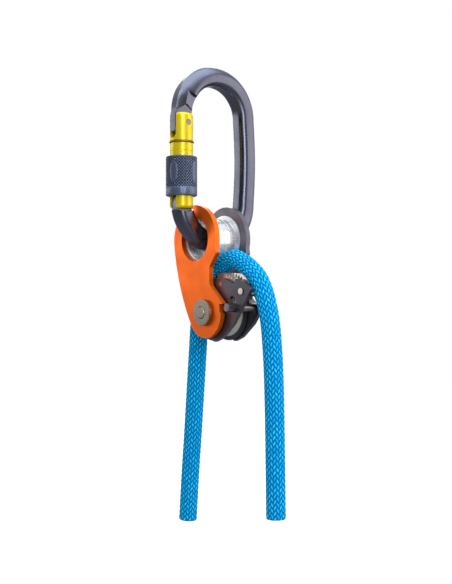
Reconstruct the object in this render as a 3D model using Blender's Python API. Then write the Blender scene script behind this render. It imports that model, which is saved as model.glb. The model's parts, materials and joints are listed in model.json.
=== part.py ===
"""A pulley-type rope ascender on an oval screw-gate connector, threaded with a short rope.

Metres, +Z up. The origin is where the connector hangs: the inside of its top bend.
X runs along the ascender's axles (front plate at -X), and the connector's gate is at -X.
"""

import math

import bmesh
import bpy
from mathutils import Vector

MM = 0.001

# Clearances
GAP = 0.3 * MM
RUN_GAP = 0.4 * MM
HANG_GAP = 0.85 * MM

# Connector body
CONNECTOR_HEIGHT = 110.5 * MM
CONNECTOR_WIDTH = 59 * MM
ROD = 11.5 * MM
ROD_CHAMFER = 3.0 * MM
SPINE_BOW = 1.2 * MM
BLADE = 5.2 * MM
BLADE_CHAMFER = 0.5 * MM
FINGER_LENGTH = 11.6 * MM
FINGER_TOE = 3.6 * MM
FINGER_TIP = 0.8 * MM
MILLED_EDGE = 0.05 * MM
NOSE_THIN_UNTIL = math.radians(9)
NOSE_FULL_FROM = math.radians(27)
BODY_END_ANGLE = math.radians(4)

# Gate
GATE_RADIUS = 6.9 * MM
GATE_TOP_BELOW_BEND = 0.5 * MM
GATE_PAST_BEND = 5.1 * MM
GATE_EDGE = 2.0 * MM
HINGE_ABOVE_GATE_END = 9.3 * MM
HINGE_RIVET_RADIUS = 1.6 * MM
NOSE_PIN_RADIUS = 1.45 * MM
NOSE_PIN_BELOW_TOP = 5.9 * MM
NOSE_SLOT_LENGTH = 15.1 * MM
RING_BELOW_TOP = 17.1 * MM
RING_WIRE = 0.5 * MM
RING_PROUD = 0.5 * MM
MARK_BELOW_TOP = 22.5 * MM
MARK_DEPTH = 0.25 * MM
TONGUE_TOP = 3.6 * MM
TONGUE_RISE = 2.5 * MM  # rise of the tongue's cam face, per radian of gate opening
GATE_OPEN = math.radians(26)
TONGUE_OUT = 5.4 * MM
TONGUE_IN = 4.4 * MM
TONGUE_ROOT_FROM = math.radians(20)
TONGUE_ROOT_TO = math.radians(31)
SPRING_BORE_RADIUS = 2.4 * MM
SPRING_BORE_WALL = 2.0 * MM
PLUNGER_SHARE = 0.3
PLUNGER_TIP = 0.5 * MM
GATE_SPRING_WIRE = 0.3 * MM
GATE_SPRING_TURNS = 7

# Sleeve
SLEEVE_WALL = 1.55 * MM
SLEEVE_LENGTH = 23.3 * MM
SLEEVE_ABOVE_GATE_END = 7.4 * MM
SLEEVE_EDGE = 1.0 * MM

# Layers of the ascender along X, out from the rope's plane
ASCENDER_SHIFT = 1.5 * MM  # towards the front, along the connector's bottom bend
SHEAVE_WIDTH = 12.0 * MM
CAM_PLATE = 2.3 * MM
WASHER = 0.4 * MM
CAM_SPRING_WIRE = 0.6 * MM
SIDE_PLATE = 3.0 * MM
PLATE_EDGE = 0.7 * MM

# Side plates, seen from the front: u to the right (-Y), w up
EYE_RADIUS = 12.8 * MM
EYE_LOBE = 20.4 * MM
PIVOT_LOBE = 15.0 * MM
PIVOT_SIDE = 9.64 * MM
PIVOT_DROP = 43.1 * MM
LEFT_EDGE_RADIUS = 120 * MM
WAIST_U = 14.1 * MM
WAIST_TOP = 16.2 * MM
WAIST_BOTTOM = 27.0 * MM
SHOULDER_U = 20.4 * MM
SHOULDER_DROP = 8.6 * MM
HIP_U = 25.9 * MM
HIP_DROP = 37.4 * MM
SHOULDER_ROUND = 2.5 * MM
WAIST_ROUND = 3.0 * MM
HIP_ROUND = 1.5 * MM
EDGE_NOTCH = 5.2 * MM
EDGE_NOTCH_DEPTH = 1.4 * MM

# Drum
DRUM_BORE = 11.4 * MM
DRUM_GROOVE = 12.9 * MM
DRUM_FRONT_LIP = 14.5 * MM
DRUM_REAR_LIP = 15.2 * MM
DRUM_FRONT_SLOPE = 4.0 * MM
DRUM_REAR_SLOPE = 1.6 * MM
DRUM_LIP_WIDTH = 0.8 * MM
DRUM_LINE = 0.35 * MM
DRUM_STEP_X = 4.8 * MM
DRUM_STEP = 0.4 * MM
DRUM_SPIGOT = 2.6 * MM
DRUM_MOUTH = 0.6 * MM

# Axle
AXLE_RADIUS = 5.0 * MM
AXLE_END_RADIUS = 3.4 * MM
AXLE_DOME = 0.5 * MM
AXLE_EDGE = 0.4 * MM
COLLAR_RADIUS = 7.8 * MM
COLLAR_THICKNESS = 2.4 * MM
REAR_HEAD_RADIUS = 7.2 * MM
REAR_HEAD_THICKNESS = 2.2 * MM
WASHER_RADIUS = 8.6 * MM
THIN_EDGE = 0.1 * MM

# Sheave
SHEAVE_FLANGE = 16.8 * MM
SHEAVE_GROOVE = 5.3 * MM
BUSHING_WALL = 1.2 * MM

# Cam, from its pivot: u to the right (-Y), w up
CAM_BACK_RADIUS = 13.8 * MM
CAM_SHELF_START = (1.5 * MM, 20.3 * MM)
CAM_SHELF_END = (13.0 * MM, 20.0 * MM)
CAM_NOTCH = (21.4 * MM, 16.4 * MM)
CAM_HORN = (24.6 * MM, 19.3 * MM)
CAM_BROW = (30.6 * MM, 17.7 * MM)
CAM_CORNER = (36.9 * MM, 13.9 * MM)
CAM_BELLY = (21.5 * MM, -6.5 * MM)
CAM_HEEL = (11.0 * MM, -14.8 * MM)
CAM_FOOT = (4.2 * MM, -17.4 * MM)
CAM_TIGHT_ROUND = 1.2 * MM
CAM_SMALL_ROUND = 2.0 * MM
CAM_WIDE_ROUND = 6.0 * MM
CAM_BELLY_ROUND = 10.0 * MM
CAM_EDGE = 0.3 * MM
INNER_RIVET = (9.8 * MM, 16.6 * MM)
INNER_RIVET_RADIUS = 1.3 * MM
OUTER_RIVET = (28.4 * MM, 12.4 * MM)
OUTER_RIVET_RADIUS = 1.3 * MM
OUTER_SPACER_RADIUS = 2.0 * MM
RIVET_HEAD_RADIUS = 2.0 * MM
RIVET_HEAD = 0.5 * MM
TEETH = 7
TEETH_FROM = math.radians(80)
TEETH_TO = math.radians(41)
TEETH_LOW_RADIUS = 22.4 * MM
TEETH_HIGH_RADIUS = 27.8 * MM
TEETH_GROWTH = 0.6
TOOTH_HEIGHT = 2.2 * MM
TOOTH_SLOT = 3.0 * MM
TOOTH_SLOT_PAST = 0.3  # radians beyond the teeth, at each end
LOCK_PIN = (22.5 * MM, 3.1 * MM)
LOCK_PIN_RADIUS = 2.4 * MM
LOCK_PIN_PROUD = 6.3 * MM
LOCK_PIN_EDGE = 0.4 * MM
LOCK_TRAVEL = 4.6 * MM
LOCK_DIRECTION = math.radians(116)
CAM_SPRING_TURNS = 2.25
LOCK_SPRING_WIRE = 0.35 * MM
LOCK_SPRING_TURNS = 3
LOCK_SPRING_PITCH = 2.3  # in wire radii

# Rope: points of its middle line from the cam's pivot, u to the right (-Y) and w up, in millimetres
ROPE_RADIUS = 5.6 * MM
ROPE_STEP = 8 * MM
ROPE_STRETCHES = {
    "rope_left_strand": [
        (-32.8, -128.4), (-30.3, -100), (-27.7, -75), (-25.3, -50), (-23.0, -26), (-21.2, -8),
    ],
    "rope_held": [
        (-18.7, 6), (-13.8, 15.8), (-6.8, 22.2), (0.2, 26.9), (6.5, 30.2), (13.0, 31.2), (21.0, 28.4),
        (28.5, 23.8), (34.0, 18.6), (37.8, 12.4), (40.6, 5), (42.8, -3), (44.4, -13),
    ],
    "rope_right_strand": [(45.9, -30), (46.8, -50), (47.5, -80), (48.1, -113.4)],
}

# Facets
FINE_SIDES = 56
MEDIUM_SIDES = 36
COARSE_SIDES = 20
TURN_STEPS = 12
WIRE_RESOLUTION = 1
ROPE_RESOLUTION = 4

# Derived places
ROD_HALF = ROD / 2
BEND_RADIUS = CONNECTOR_WIDTH / 2 - ROD_HALF
INNER_BEND = CONNECTOR_WIDTH / 2 - ROD
TOP_BEND_Z = -INNER_BEND
BOTTOM_BEND_Z = ROD - CONNECTOR_HEIGHT + CONNECTOR_WIDTH / 2
GATE_X = -BEND_RADIUS
GATE_TOP_Z = TOP_BEND_Z - GATE_TOP_BELOW_BEND
GATE_END_Z = BOTTOM_BEND_Z - GATE_PAST_BEND
HINGE_Z = GATE_END_Z + HINGE_ABOVE_GATE_END
NOSE_PIN_Z = GATE_TOP_Z - NOSE_PIN_BELOW_TOP
FINGER_END_Z = GATE_TOP_Z - FINGER_LENGTH
RING_Z = GATE_TOP_Z - RING_BELOW_TOP
RING_RADIUS = GATE_RADIUS + RING_PROUD - RING_WIRE
SLEEVE_BORE = GATE_RADIUS + RING_PROUD + GAP
SLEEVE_RADIUS = SLEEVE_BORE + SLEEVE_WALL
SLEEVE_END_Z = GATE_END_Z + SLEEVE_ABOVE_GATE_END
TONGUE_MAX = TONGUE_TOP + TONGUE_RISE * GATE_OPEN
TONGUE_SLOT_Z = HINGE_Z + TONGUE_MAX + RUN_GAP
SPRING_BORE_TOP_Z = GATE_TOP_Z - NOSE_SLOT_LENGTH - SPRING_BORE_WALL
PLUNGER_Z = HINGE_Z + TONGUE_TOP + 2 * GAP
PLUNGER_LENGTH = PLUNGER_SHARE * (SPRING_BORE_TOP_Z - PLUNGER_Z)
GATE_CORNER = math.hypot(GATE_RADIUS - GATE_EDGE, HINGE_ABOVE_GATE_END - GATE_EDGE) + GATE_EDGE
SHOULDER_RADIUS = GATE_CORNER + RUN_GAP

SHEAVE_HALF = SHEAVE_WIDTH / 2
CAM_IN = SHEAVE_HALF + RUN_GAP
CAM_OUT = CAM_IN + CAM_PLATE
WASHER_IN = CAM_OUT + GAP
FRONT_IN = WASHER_IN + WASHER + GAP
FRONT_OUT = FRONT_IN + SIDE_PLATE
CAM_SPRING_X = CAM_OUT + GAP + CAM_SPRING_WIRE
BACK_IN = CAM_SPRING_X + CAM_SPRING_WIRE + GAP
BACK_OUT = BACK_IN + SIDE_PLATE

ASCENDER_X = -ASCENDER_SHIFT
EYE_FRONT_X = ASCENDER_SHIFT + FRONT_OUT
ROD_TOP_FLAT = ROD_HALF - ROD_CHAMFER
ROD_TOP_Z = BOTTOM_BEND_Z - math.sqrt(INNER_BEND**2 - EYE_FRONT_X**2)
EYE_Z = ROD_TOP_Z + HANG_GAP - math.sqrt(EYE_RADIUS**2 - ROD_TOP_FLAT**2)
PIVOT_Z = EYE_Z - PIVOT_DROP

CONNECTOR_AT = Vector((0, 0, 0))
GATE_HINGE_AT = Vector((GATE_X, 0, HINGE_Z))
EYE_AT = Vector((ASCENDER_X, 0, EYE_Z))
PIVOT_AT = Vector((ASCENDER_X, -PIVOT_SIDE, PIVOT_Z))


def clear_scene():
    for thing in list(bpy.data.objects):
        bpy.data.objects.remove(thing, do_unlink=True)


def joint(name, at, parent=None):
    """An empty on a joint's axis, which its pieces hang from."""
    empty = bpy.data.objects.new(name, None)
    empty.empty_display_size = 0.01
    empty.location = at - (Vector(parent["at"]) if parent else Vector())
    empty.parent = parent
    empty["at"] = list(at)
    bpy.context.scene.collection.objects.link(empty)
    return empty


def material(name, colour, roughness, metallic):
    made = bpy.data.materials.new(name)
    made.use_nodes = True
    shader = made.node_tree.nodes["Principled BSDF"]
    shader.inputs["Base Color"].default_value = (*colour, 1)
    shader.inputs["Roughness"].default_value = roughness
    shader.inputs["Metallic"].default_value = metallic
    made.diffuse_color = (*colour, 1)
    return made


def add_mesh(name, bm, parent, look=None):
    """A mesh object from a bmesh in the row frame, with its origin on its parent's joint axis."""
    origin = Vector(parent["at"])
    bmesh.ops.translate(bm, verts=bm.verts, vec=-origin)
    bmesh.ops.recalc_face_normals(bm, faces=bm.faces)
    mesh = bpy.data.meshes.new(name)
    bm.to_mesh(mesh)
    bm.free()
    made = bpy.data.objects.new(name, mesh)
    made.parent = parent
    bpy.context.scene.collection.objects.link(made)
    if look is not None:
        mesh.materials.append(look)
        mesh.shade_smooth()
        mesh.set_sharp_from_angle(angle=math.radians(35))
    return made


def rings_mesh(rings, closed=False):
    """A bmesh that joins rings of points in order; a ring of one point is a tip."""
    bm = bmesh.new()
    made = [[bm.verts.new(point) for point in ring] for ring in rings]
    pairs = list(zip(made, made[1:]))
    if closed:
        pairs.append((made[-1], made[0]))
    for first, second in pairs:
        count = max(len(first), len(second))
        for i in range(count):
            j = (i + 1) % count
            corners = [first[i % len(first)], first[j % len(first)]]
            corners += [second[j % len(second)], second[i % len(second)]]
            bm.faces.new(list(dict.fromkeys(corners)))
    if not closed:
        for ring in (made[0], made[-1]):
            if len(ring) > 2:
                bm.faces.new(ring)
    return bm


def turned(profile, centre, axis, sides):
    """A turned solid from (along, radius) points; one that keeps off the axis is a closed ring."""
    first, second = {"X": ((0, 1, 0), (0, 0, 1)), "Y": ((0, 0, 1), (1, 0, 0)), "Z": ((1, 0, 0), (0, 1, 0))}[axis]
    along = Vector(first).cross(Vector(second))
    rings = []
    for place, radius in profile:
        middle = Vector(centre) + along * place
        if radius == 0:
            rings.append([middle])
            continue
        turns = [2 * math.pi * i / sides for i in range(sides)]
        rings.append([
            middle + radius * (math.cos(t) * Vector(first) + math.sin(t) * Vector(second)) for t in turns
        ])
    return rings_mesh(rings, closed=all(radius > 0 for _, radius in profile))


def rod_profile(start, end, radius):
    return [(start, 0), (start, radius), (end, radius), (end, 0)]


def tube_profile(start, end, inner, outer, edge):
    """A ring's section, with its outer edges chamfered."""
    return [
        (start, inner), (start, outer - edge), (start + edge, outer),
        (end - edge, outer), (end, outer - edge), (end, inner),
    ]


def slab(outline, start, end, axis):
    """An outline pushed along an axis: (y, z) points along X, (x, z) along Y."""
    def place(point, along):
        if axis == "X":
            return Vector((along, point[0], point[1]))
        return Vector((point[0], along, point[1]))
    return rings_mesh([[place(p, start) for p in outline], [place(p, end) for p in outline]])


def cutter(name, bm, parent):
    made = add_mesh(name, bm, parent)
    made.hide_render = True
    made.display_type = "WIRE"
    return made


def combine(target, other, operation="DIFFERENCE"):
    change = target.modifiers.new(other.name, "BOOLEAN")
    change.operation = operation
    change.solver = "EXACT"
    change.object = other


def soften(target, width, segments=1):
    edge = target.modifiers.new("edges", "BEVEL")
    edge.width = width
    edge.segments = segments
    edge.limit_method = "ANGLE"
    edge.angle_limit = math.radians(50)


def arc(centre, radius, start, end, steps):
    return [
        (
            centre[0] + radius * math.cos(start + (end - start) * i / steps),
            centre[1] + radius * math.sin(start + (end - start) * i / steps),
        )
        for i in range(steps + 1)
    ]


def rounded(corners, steps=4):
    """An outline from (u, w, radius) corners, each rounded by its radius."""
    points = []
    count = len(corners)
    for i in range(count):
        here = Vector(corners[i][:2])
        radius = corners[i][2]
        back = (Vector(corners[i - 1][:2]) - here).normalized()
        ahead = (Vector(corners[(i + 1) % count][:2]) - here).normalized()
        half = back.angle(ahead) / 2
        if radius == 0 or half > math.radians(89):
            points.append(tuple(here))
            continue
        reach = radius / math.tan(half)
        start = here + back * reach
        end = here + ahead * reach
        for k in range(steps + 1):
            t = k / steps
            points.append(tuple(start * (1 - t) ** 2 + here * 2 * t * (1 - t) + end * t**2))
    return points


def from_eye(points):
    """(u, w) points about the eye as (y, z) in the row frame."""
    return [(EYE_AT.y - u, EYE_AT.z + w) for u, w in points]


def from_pivot(points):
    """(u, w) points about the cam's pivot as (y, z) in the row frame."""
    return [(PIVOT_AT.y - u, PIVOT_AT.z + w) for u, w in points]


def pivot_point(place, x):
    return Vector((ASCENDER_X + x, PIVOT_AT.y - place[0], PIVOT_AT.z + place[1]))


def wire(name, points, radius, parent, look, resolution=WIRE_RESOLUTION):
    """A round wire along points of the row frame, with filled ends."""
    curve = bpy.data.curves.new(name, "CURVE")
    curve.dimensions = "3D"
    curve.bevel_depth = radius
    curve.bevel_resolution = resolution
    curve.use_fill_caps = True
    spline = curve.splines.new("POLY")
    spline.points.add(len(points) - 1)
    origin = Vector(parent["at"])
    for target, point in zip(spline.points, points):
        target.co = (*(Vector(point) - origin), 1)
    curve.materials.append(look)
    made = bpy.data.objects.new(name, curve)
    made.parent = parent
    bpy.context.scene.collection.objects.link(made)
    return made


def smooth_line(points, start, end, step):
    """Points about step apart on the smooth curve through points, from point start to point end."""
    line = []
    for i in range(start, end):
        a = points[max(i - 1, 0)]
        b = points[i]
        c = points[i + 1]
        d = points[min(i + 2, len(points) - 1)]
        count = max(1, round((c - b).length / step))
        for k in range(count):
            t = k / count
            line.append(0.5 * (
                2 * b + (c - a) * t + (2 * a - 5 * b + 4 * c - d) * t**2 + (3 * b - a - 3 * c + d) * t**3
            ))
    line.append(points[end])
    return line


def rod_ring(middle, inward, inner, outer, half, chamfer):
    """One section of the connector's body: inner and outer reach from its middle line, and half thickness."""
    cut = min(chamfer, half * 0.6)
    bulge = cut * (1 - math.sqrt(0.5))
    corner = [(0, cut), (bulge, bulge), (cut, 0)]
    section = []
    for sn, sy in ((1, 1), (-1, 1), (-1, -1), (1, -1)):
        reach = inner if sn > 0 else outer
        points = [(sn * (reach - a), sy * (half - b)) for a, b in corner]
        section += points if sn == sy else points[::-1]
    return [Vector((middle[0] + n * inward[0], y, middle[1] + n * inward[1])) for n, y in section]


def nose_sections():
    """The finger that enters the gate, from its tip up to the body's shoulder."""
    half = BLADE / 2
    outer = GATE_RADIUS - 2 * GAP
    toe_top = NOSE_PIN_Z - NOSE_PIN_RADIUS - RUN_GAP
    notch_top = NOSE_PIN_Z + NOSE_PIN_RADIUS + RUN_GAP
    notch_in = -(NOSE_PIN_RADIUS + RUN_GAP)
    toe_in = notch_in + NOSE_PIN_RADIUS
    shoulder = GATE_TOP_Z + GAP
    rows = [
        (FINGER_END_Z, outer - FINGER_TIP, toe_in - FINGER_TIP),
        (FINGER_END_Z + FINGER_TIP, outer, toe_in),
        (toe_top - MILLED_EDGE, outer, toe_in),
        (toe_top, outer, notch_in),
        (notch_top, outer, notch_in),
        (notch_top + NOSE_PIN_RADIUS, outer, toe_in),
        (shoulder, outer, toe_in),
        (shoulder + MILLED_EDGE, ROD_HALF, ROD_HALF),
    ]
    return [rod_ring((GATE_X, z), (1, 0), inner, out, half, BLADE_CHAMFER) for z, out, inner in rows]


def body_sections():
    """The rod from the nose over the top, down the spine and round to the gate's hinge."""
    rings = nose_sections()
    for i in range(1, 25):
        turn = math.pi * i / 24
        grown = min(max((turn - NOSE_THIN_UNTIL) / (NOSE_FULL_FROM - NOSE_THIN_UNTIL), 0), 1)
        half = BLADE / 2 + (ROD_HALF - BLADE / 2) * grown
        chamfer = BLADE_CHAMFER + (ROD_CHAMFER - BLADE_CHAMFER) * grown
        out = (-math.cos(turn), math.sin(turn))
        middle = (BEND_RADIUS * out[0], TOP_BEND_Z + BEND_RADIUS * out[1])
        rings.append(rod_ring(middle, (-out[0], -out[1]), ROD_HALF, ROD_HALF, half, chamfer))
    spine = TOP_BEND_Z - BOTTOM_BEND_Z
    for i in range(1, 8):
        middle = (BEND_RADIUS + SPINE_BOW * math.sin(math.pi * i / 8), TOP_BEND_Z - spine * i / 8)
        rings.append(rod_ring(middle, (-1, 0), ROD_HALF, ROD_HALF, ROD_HALF, ROD_CHAMFER))
    for i in range(0, 23):
        turn = (math.pi - BODY_END_ANGLE) * i / 22
        out = (math.cos(turn), -math.sin(turn))
        middle = (BEND_RADIUS * out[0], BOTTOM_BEND_Z + BEND_RADIUS * out[1])
        rings.append(rod_ring(middle, (-out[0], -out[1]), ROD_HALF, ROD_HALF, ROD_HALF, ROD_CHAMFER))
    return rings


def tongue_outline():
    """The hinge tongue seen along Y: a spiral cam face on top for the plunger, and a neck into the body."""
    points = []
    for i in range(7):
        turn = -math.pi / 2 + math.pi / 2 * i / 6
        points.append((TONGUE_TOP * math.sin(turn), TONGUE_TOP * math.cos(turn)))
    for i in range(1, 8):
        turn = GATE_OPEN * i / 6
        radius = TONGUE_TOP + TONGUE_RISE * turn
        points.append((radius * math.sin(turn), radius * math.cos(turn)))
    last = TONGUE_TOP + TONGUE_RISE * GATE_OPEN * 7 / 6
    for i in range(1, 5):
        turn = GATE_OPEN * 7 / 6 + (math.pi / 2 - GATE_OPEN * 7 / 6) * i / 4
        points.append((last * math.sin(turn), last * math.cos(turn)))
    outline = [(GATE_X + x, HINGE_Z + z) for x, z in points]
    inner = BEND_RADIUS - TONGUE_IN
    outer = BEND_RADIUS + TONGUE_OUT
    root = []
    for turn, radius in (
        (TONGUE_ROOT_FROM, inner), (TONGUE_ROOT_TO, inner), (TONGUE_ROOT_TO, outer), (TONGUE_ROOT_FROM, outer),
        (BODY_END_ANGLE, outer),
    ):
        root.append((-radius * math.cos(turn), BOTTOM_BEND_Z - radius * math.sin(turn)))
    return outline + root


def make_connector(parent, look):
    body = add_mesh("connector_body", rings_mesh(body_sections()), parent, look["connector"])
    seat = rod_profile(-ROD, ROD, SHOULDER_RADIUS)
    combine(body, cutter("gate_seat", turned(seat, GATE_HINGE_AT, "Y", MEDIUM_SIDES), parent))
    tongue_half = BLADE / 2
    tongue = cutter("connector_tongue", slab(tongue_outline(), -tongue_half, tongue_half, "Y"), parent)
    combine(body, tongue, "UNION")
    hole = rod_profile(-ROD, ROD, HINGE_RIVET_RADIUS + GAP)
    combine(body, cutter("tongue_hole", turned(hole, GATE_HINGE_AT, "Y", COARSE_SIDES), parent))
    reach = GATE_RADIUS - GAP
    rivet = rod_profile(-reach, reach, HINGE_RIVET_RADIUS)
    add_mesh("gate_hinge_rivet", turned(rivet, GATE_HINGE_AT, "Y", COARSE_SIDES), parent, look["rivet"])


def gate_profile():
    ring_half = RING_WIRE + GAP
    ring_floor = RING_RADIUS - RING_WIRE - GAP
    ring_z = RING_Z - HINGE_Z
    mark_z = GATE_TOP_Z - MARK_BELOW_TOP - HINGE_Z
    low = GATE_END_Z - HINGE_Z
    high = GATE_TOP_Z - HINGE_Z
    edge = GATE_RADIUS - GATE_EDGE
    return [
        (low, 0), *arc((low + GATE_EDGE, edge), GATE_EDGE, math.pi, math.pi / 2, 4),
        (mark_z - MARK_DEPTH, GATE_RADIUS), (mark_z, GATE_RADIUS - MARK_DEPTH), (mark_z + MARK_DEPTH, GATE_RADIUS),
        (ring_z - ring_half, GATE_RADIUS), (ring_z - ring_half, ring_floor),
        (ring_z + ring_half, ring_floor), (ring_z + ring_half, GATE_RADIUS),
        *arc((high - GATE_EDGE, edge), GATE_EDGE, math.pi / 2, 0, 4), (high, 0),
    ]


def make_gate(parent, plunger_joint, look):
    gate = add_mesh("gate_tube", turned(gate_profile(), GATE_HINGE_AT, "Z", MEDIUM_SIDES), parent, look["gate"])
    half = BLADE / 2 + GAP
    slot_end = GATE_TOP_Z - NOSE_SLOT_LENGTH + half
    nose = [(half, GATE_TOP_Z + ROD), (-half, GATE_TOP_Z + ROD)]
    nose += arc((0, slot_end), half, math.pi, 2 * math.pi, 8)
    combine(gate, cutter("nose_slot", slab(nose, GATE_X - ROD, GATE_X + GAP, "X"), parent))
    tongue = [(half, TONGUE_SLOT_Z), (-half, TONGUE_SLOT_Z), (-half, GATE_END_Z - ROD), (half, GATE_END_Z - ROD)]
    combine(gate, cutter("tongue_slot", slab(tongue, GATE_X - ROD, GATE_X + ROD, "X"), parent))
    bore = rod_profile(TONGUE_TOP, SPRING_BORE_TOP_Z - HINGE_Z, SPRING_BORE_RADIUS)
    combine(gate, cutter("spring_bore", turned(bore, GATE_HINGE_AT, "Z", COARSE_SIDES), parent))
    pin_at = Vector((GATE_X, 0, NOSE_PIN_Z))
    for name, at, radius in (("nose_pin", pin_at, NOSE_PIN_RADIUS), ("rivet", GATE_HINGE_AT, HINGE_RIVET_RADIUS)):
        hole = rod_profile(-ROD, ROD, radius + GAP)
        combine(gate, cutter(f"{name}_hole", turned(hole, at, "Y", COARSE_SIDES), parent))
    reach = GATE_RADIUS - GAP
    pin = rod_profile(-reach, reach, NOSE_PIN_RADIUS)
    add_mesh("gate_nose_pin", turned(pin, pin_at, "Y", COARSE_SIDES), parent, look["steel"])
    section = [
        (RING_WIRE * math.sin(2 * math.pi * i / 8), RING_RADIUS + RING_WIRE * math.cos(2 * math.pi * i / 8))
        for i in range(8)
    ]
    add_mesh("gate_ring", turned(section, (GATE_X, 0, RING_Z), "Z", MEDIUM_SIDES), parent, look["ring"])
    coil = SPRING_BORE_RADIUS - GATE_SPRING_WIRE - GAP
    low = PLUNGER_Z + PLUNGER_LENGTH + GATE_SPRING_WIRE + GAP
    high = SPRING_BORE_TOP_Z - GATE_SPRING_WIRE - GAP
    steps = TURN_STEPS * GATE_SPRING_TURNS
    helix = []
    for i in range(steps + 1):
        turn = 2 * math.pi * i / TURN_STEPS
        height = low + (high - low) * i / steps
        helix.append((GATE_X + coil * math.cos(turn), coil * math.sin(turn), height))
    wire("gate_spring", helix, GATE_SPRING_WIRE, parent, look["spring"])
    radius = SPRING_BORE_RADIUS - GAP
    slope = radius - PLUNGER_TIP
    plunger = [(0, 0), (0, PLUNGER_TIP), (slope, radius), (PLUNGER_LENGTH, radius), (PLUNGER_LENGTH, 0)]
    at = (GATE_X, 0, PLUNGER_Z)
    add_mesh("gate_plunger", turned(plunger, at, "Z", COARSE_SIDES), plunger_joint, look["steel"])


def make_sleeve(parent, look):
    ring = tube_profile(0, SLEEVE_LENGTH, SLEEVE_BORE, SLEEVE_RADIUS, SLEEVE_EDGE)
    add_mesh("lock_sleeve", turned(ring, (GATE_X, 0, SLEEVE_END_Z), "Z", FINE_SIDES), parent, look["sleeve"])


def side_plate_outline():
    """A side plate about the eye: two lobes, one wide arc on the left, and a waist on the right for the rope."""
    pivot = (PIVOT_SIDE, -PIVOT_DROP)
    spread = math.hypot(*pivot)
    to_eye = LEFT_EDGE_RADIUS - EYE_LOBE
    to_pivot = LEFT_EDGE_RADIUS - PIVOT_LOBE
    lean = math.atan2(pivot[1], pivot[0])
    swing = math.acos((to_eye**2 + spread**2 - to_pivot**2) / (2 * to_eye * spread))
    centre = (to_eye * math.cos(lean + swing), to_eye * math.sin(lean + swing))
    left_top = lean + swing + math.pi
    left_bottom = math.atan2(pivot[1] - centre[1], pivot[0] - centre[0]) + 2 * math.pi
    shoulder = math.atan2(-SHOULDER_DROP, SHOULDER_U)
    top = arc((0, 0), EYE_LOBE, left_top, shoulder + math.radians(8), 22)
    right = rounded([
        (*top[-1], 0),
        (SHOULDER_U, -SHOULDER_DROP, SHOULDER_ROUND),
        (WAIST_U, -WAIST_TOP, WAIST_ROUND),
        (WAIST_U, -WAIST_BOTTOM, WAIST_ROUND),
        (HIP_U, -HIP_DROP, HIP_ROUND),
        (PIVOT_SIDE + PIVOT_LOBE, -PIVOT_DROP, 0),
    ])
    bottom = arc(pivot, PIVOT_LOBE, 0, left_bottom - 2 * math.pi, 16)
    left = arc(centre, LEFT_EDGE_RADIUS, left_bottom, left_top, 8)
    return top[:-1] + right[:-1] + bottom + left[1:-1]


def axle_hole(radius, name, parent):
    long = rod_profile(-4 * BACK_OUT, 4 * BACK_OUT, radius)
    return cutter(name, turned(long, PIVOT_AT, "X", MEDIUM_SIDES), parent)


def make_side_plate(name, start, end, hole, parent, look):
    plate = add_mesh(
        name, slab(from_eye(side_plate_outline()), ASCENDER_X + start, ASCENDER_X + end, "X"), parent, look
    )
    eye = rod_profile(-4 * BACK_OUT, 4 * BACK_OUT, EYE_RADIUS)
    combine(plate, cutter(f"{name}_eye", turned(eye, EYE_AT, "X", FINE_SIDES), parent))
    combine(plate, axle_hole(hole, f"{name}_axle_hole", parent))
    deep = PIVOT_LOBE - EDGE_NOTCH_DEPTH
    wide = deep + ROD
    notch = from_pivot([(deep, 0), (wide, 0), (wide, EDGE_NOTCH), (deep, EDGE_NOTCH)])
    block = slab(notch, ASCENDER_X + start - ROD, ASCENDER_X + end + ROD, "X")
    combine(plate, cutter(f"{name}_notch", block, parent))
    soften(plate, PLATE_EDGE)


def make_drum(parent, look):
    """The eye's drum: a spigot in the back plate's hole, two lips, and a waist with a fine line and a step."""
    front = -FRONT_IN + GAP
    rear = BACK_IN - GAP
    rear_end = rear + DRUM_SPIGOT
    spigot = EYE_RADIUS - GAP
    mouth = DRUM_BORE + DRUM_MOUTH
    profile = [
        (front, mouth), (front, DRUM_FRONT_LIP), (front + DRUM_LIP_WIDTH, DRUM_FRONT_LIP),
        (front + DRUM_LIP_WIDTH + DRUM_FRONT_SLOPE, DRUM_GROOVE),
        (-DRUM_LINE, DRUM_GROOVE), (0, DRUM_GROOVE - DRUM_LINE), (DRUM_LINE, DRUM_GROOVE),
        (DRUM_STEP_X - DRUM_STEP / 2, DRUM_GROOVE), (DRUM_STEP_X, DRUM_GROOVE + DRUM_STEP),
        (rear - DRUM_LIP_WIDTH - DRUM_REAR_SLOPE, DRUM_GROOVE + DRUM_STEP),
        (rear - DRUM_LIP_WIDTH, DRUM_REAR_LIP), (rear, DRUM_REAR_LIP), (rear, spigot),
        (rear_end, spigot), (rear_end, mouth), (rear_end - DRUM_MOUTH, DRUM_BORE), (front + DRUM_MOUTH, DRUM_BORE),
    ]
    add_mesh("rope_drum", turned(profile, EYE_AT, "X", FINE_SIDES), parent, look)


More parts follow.
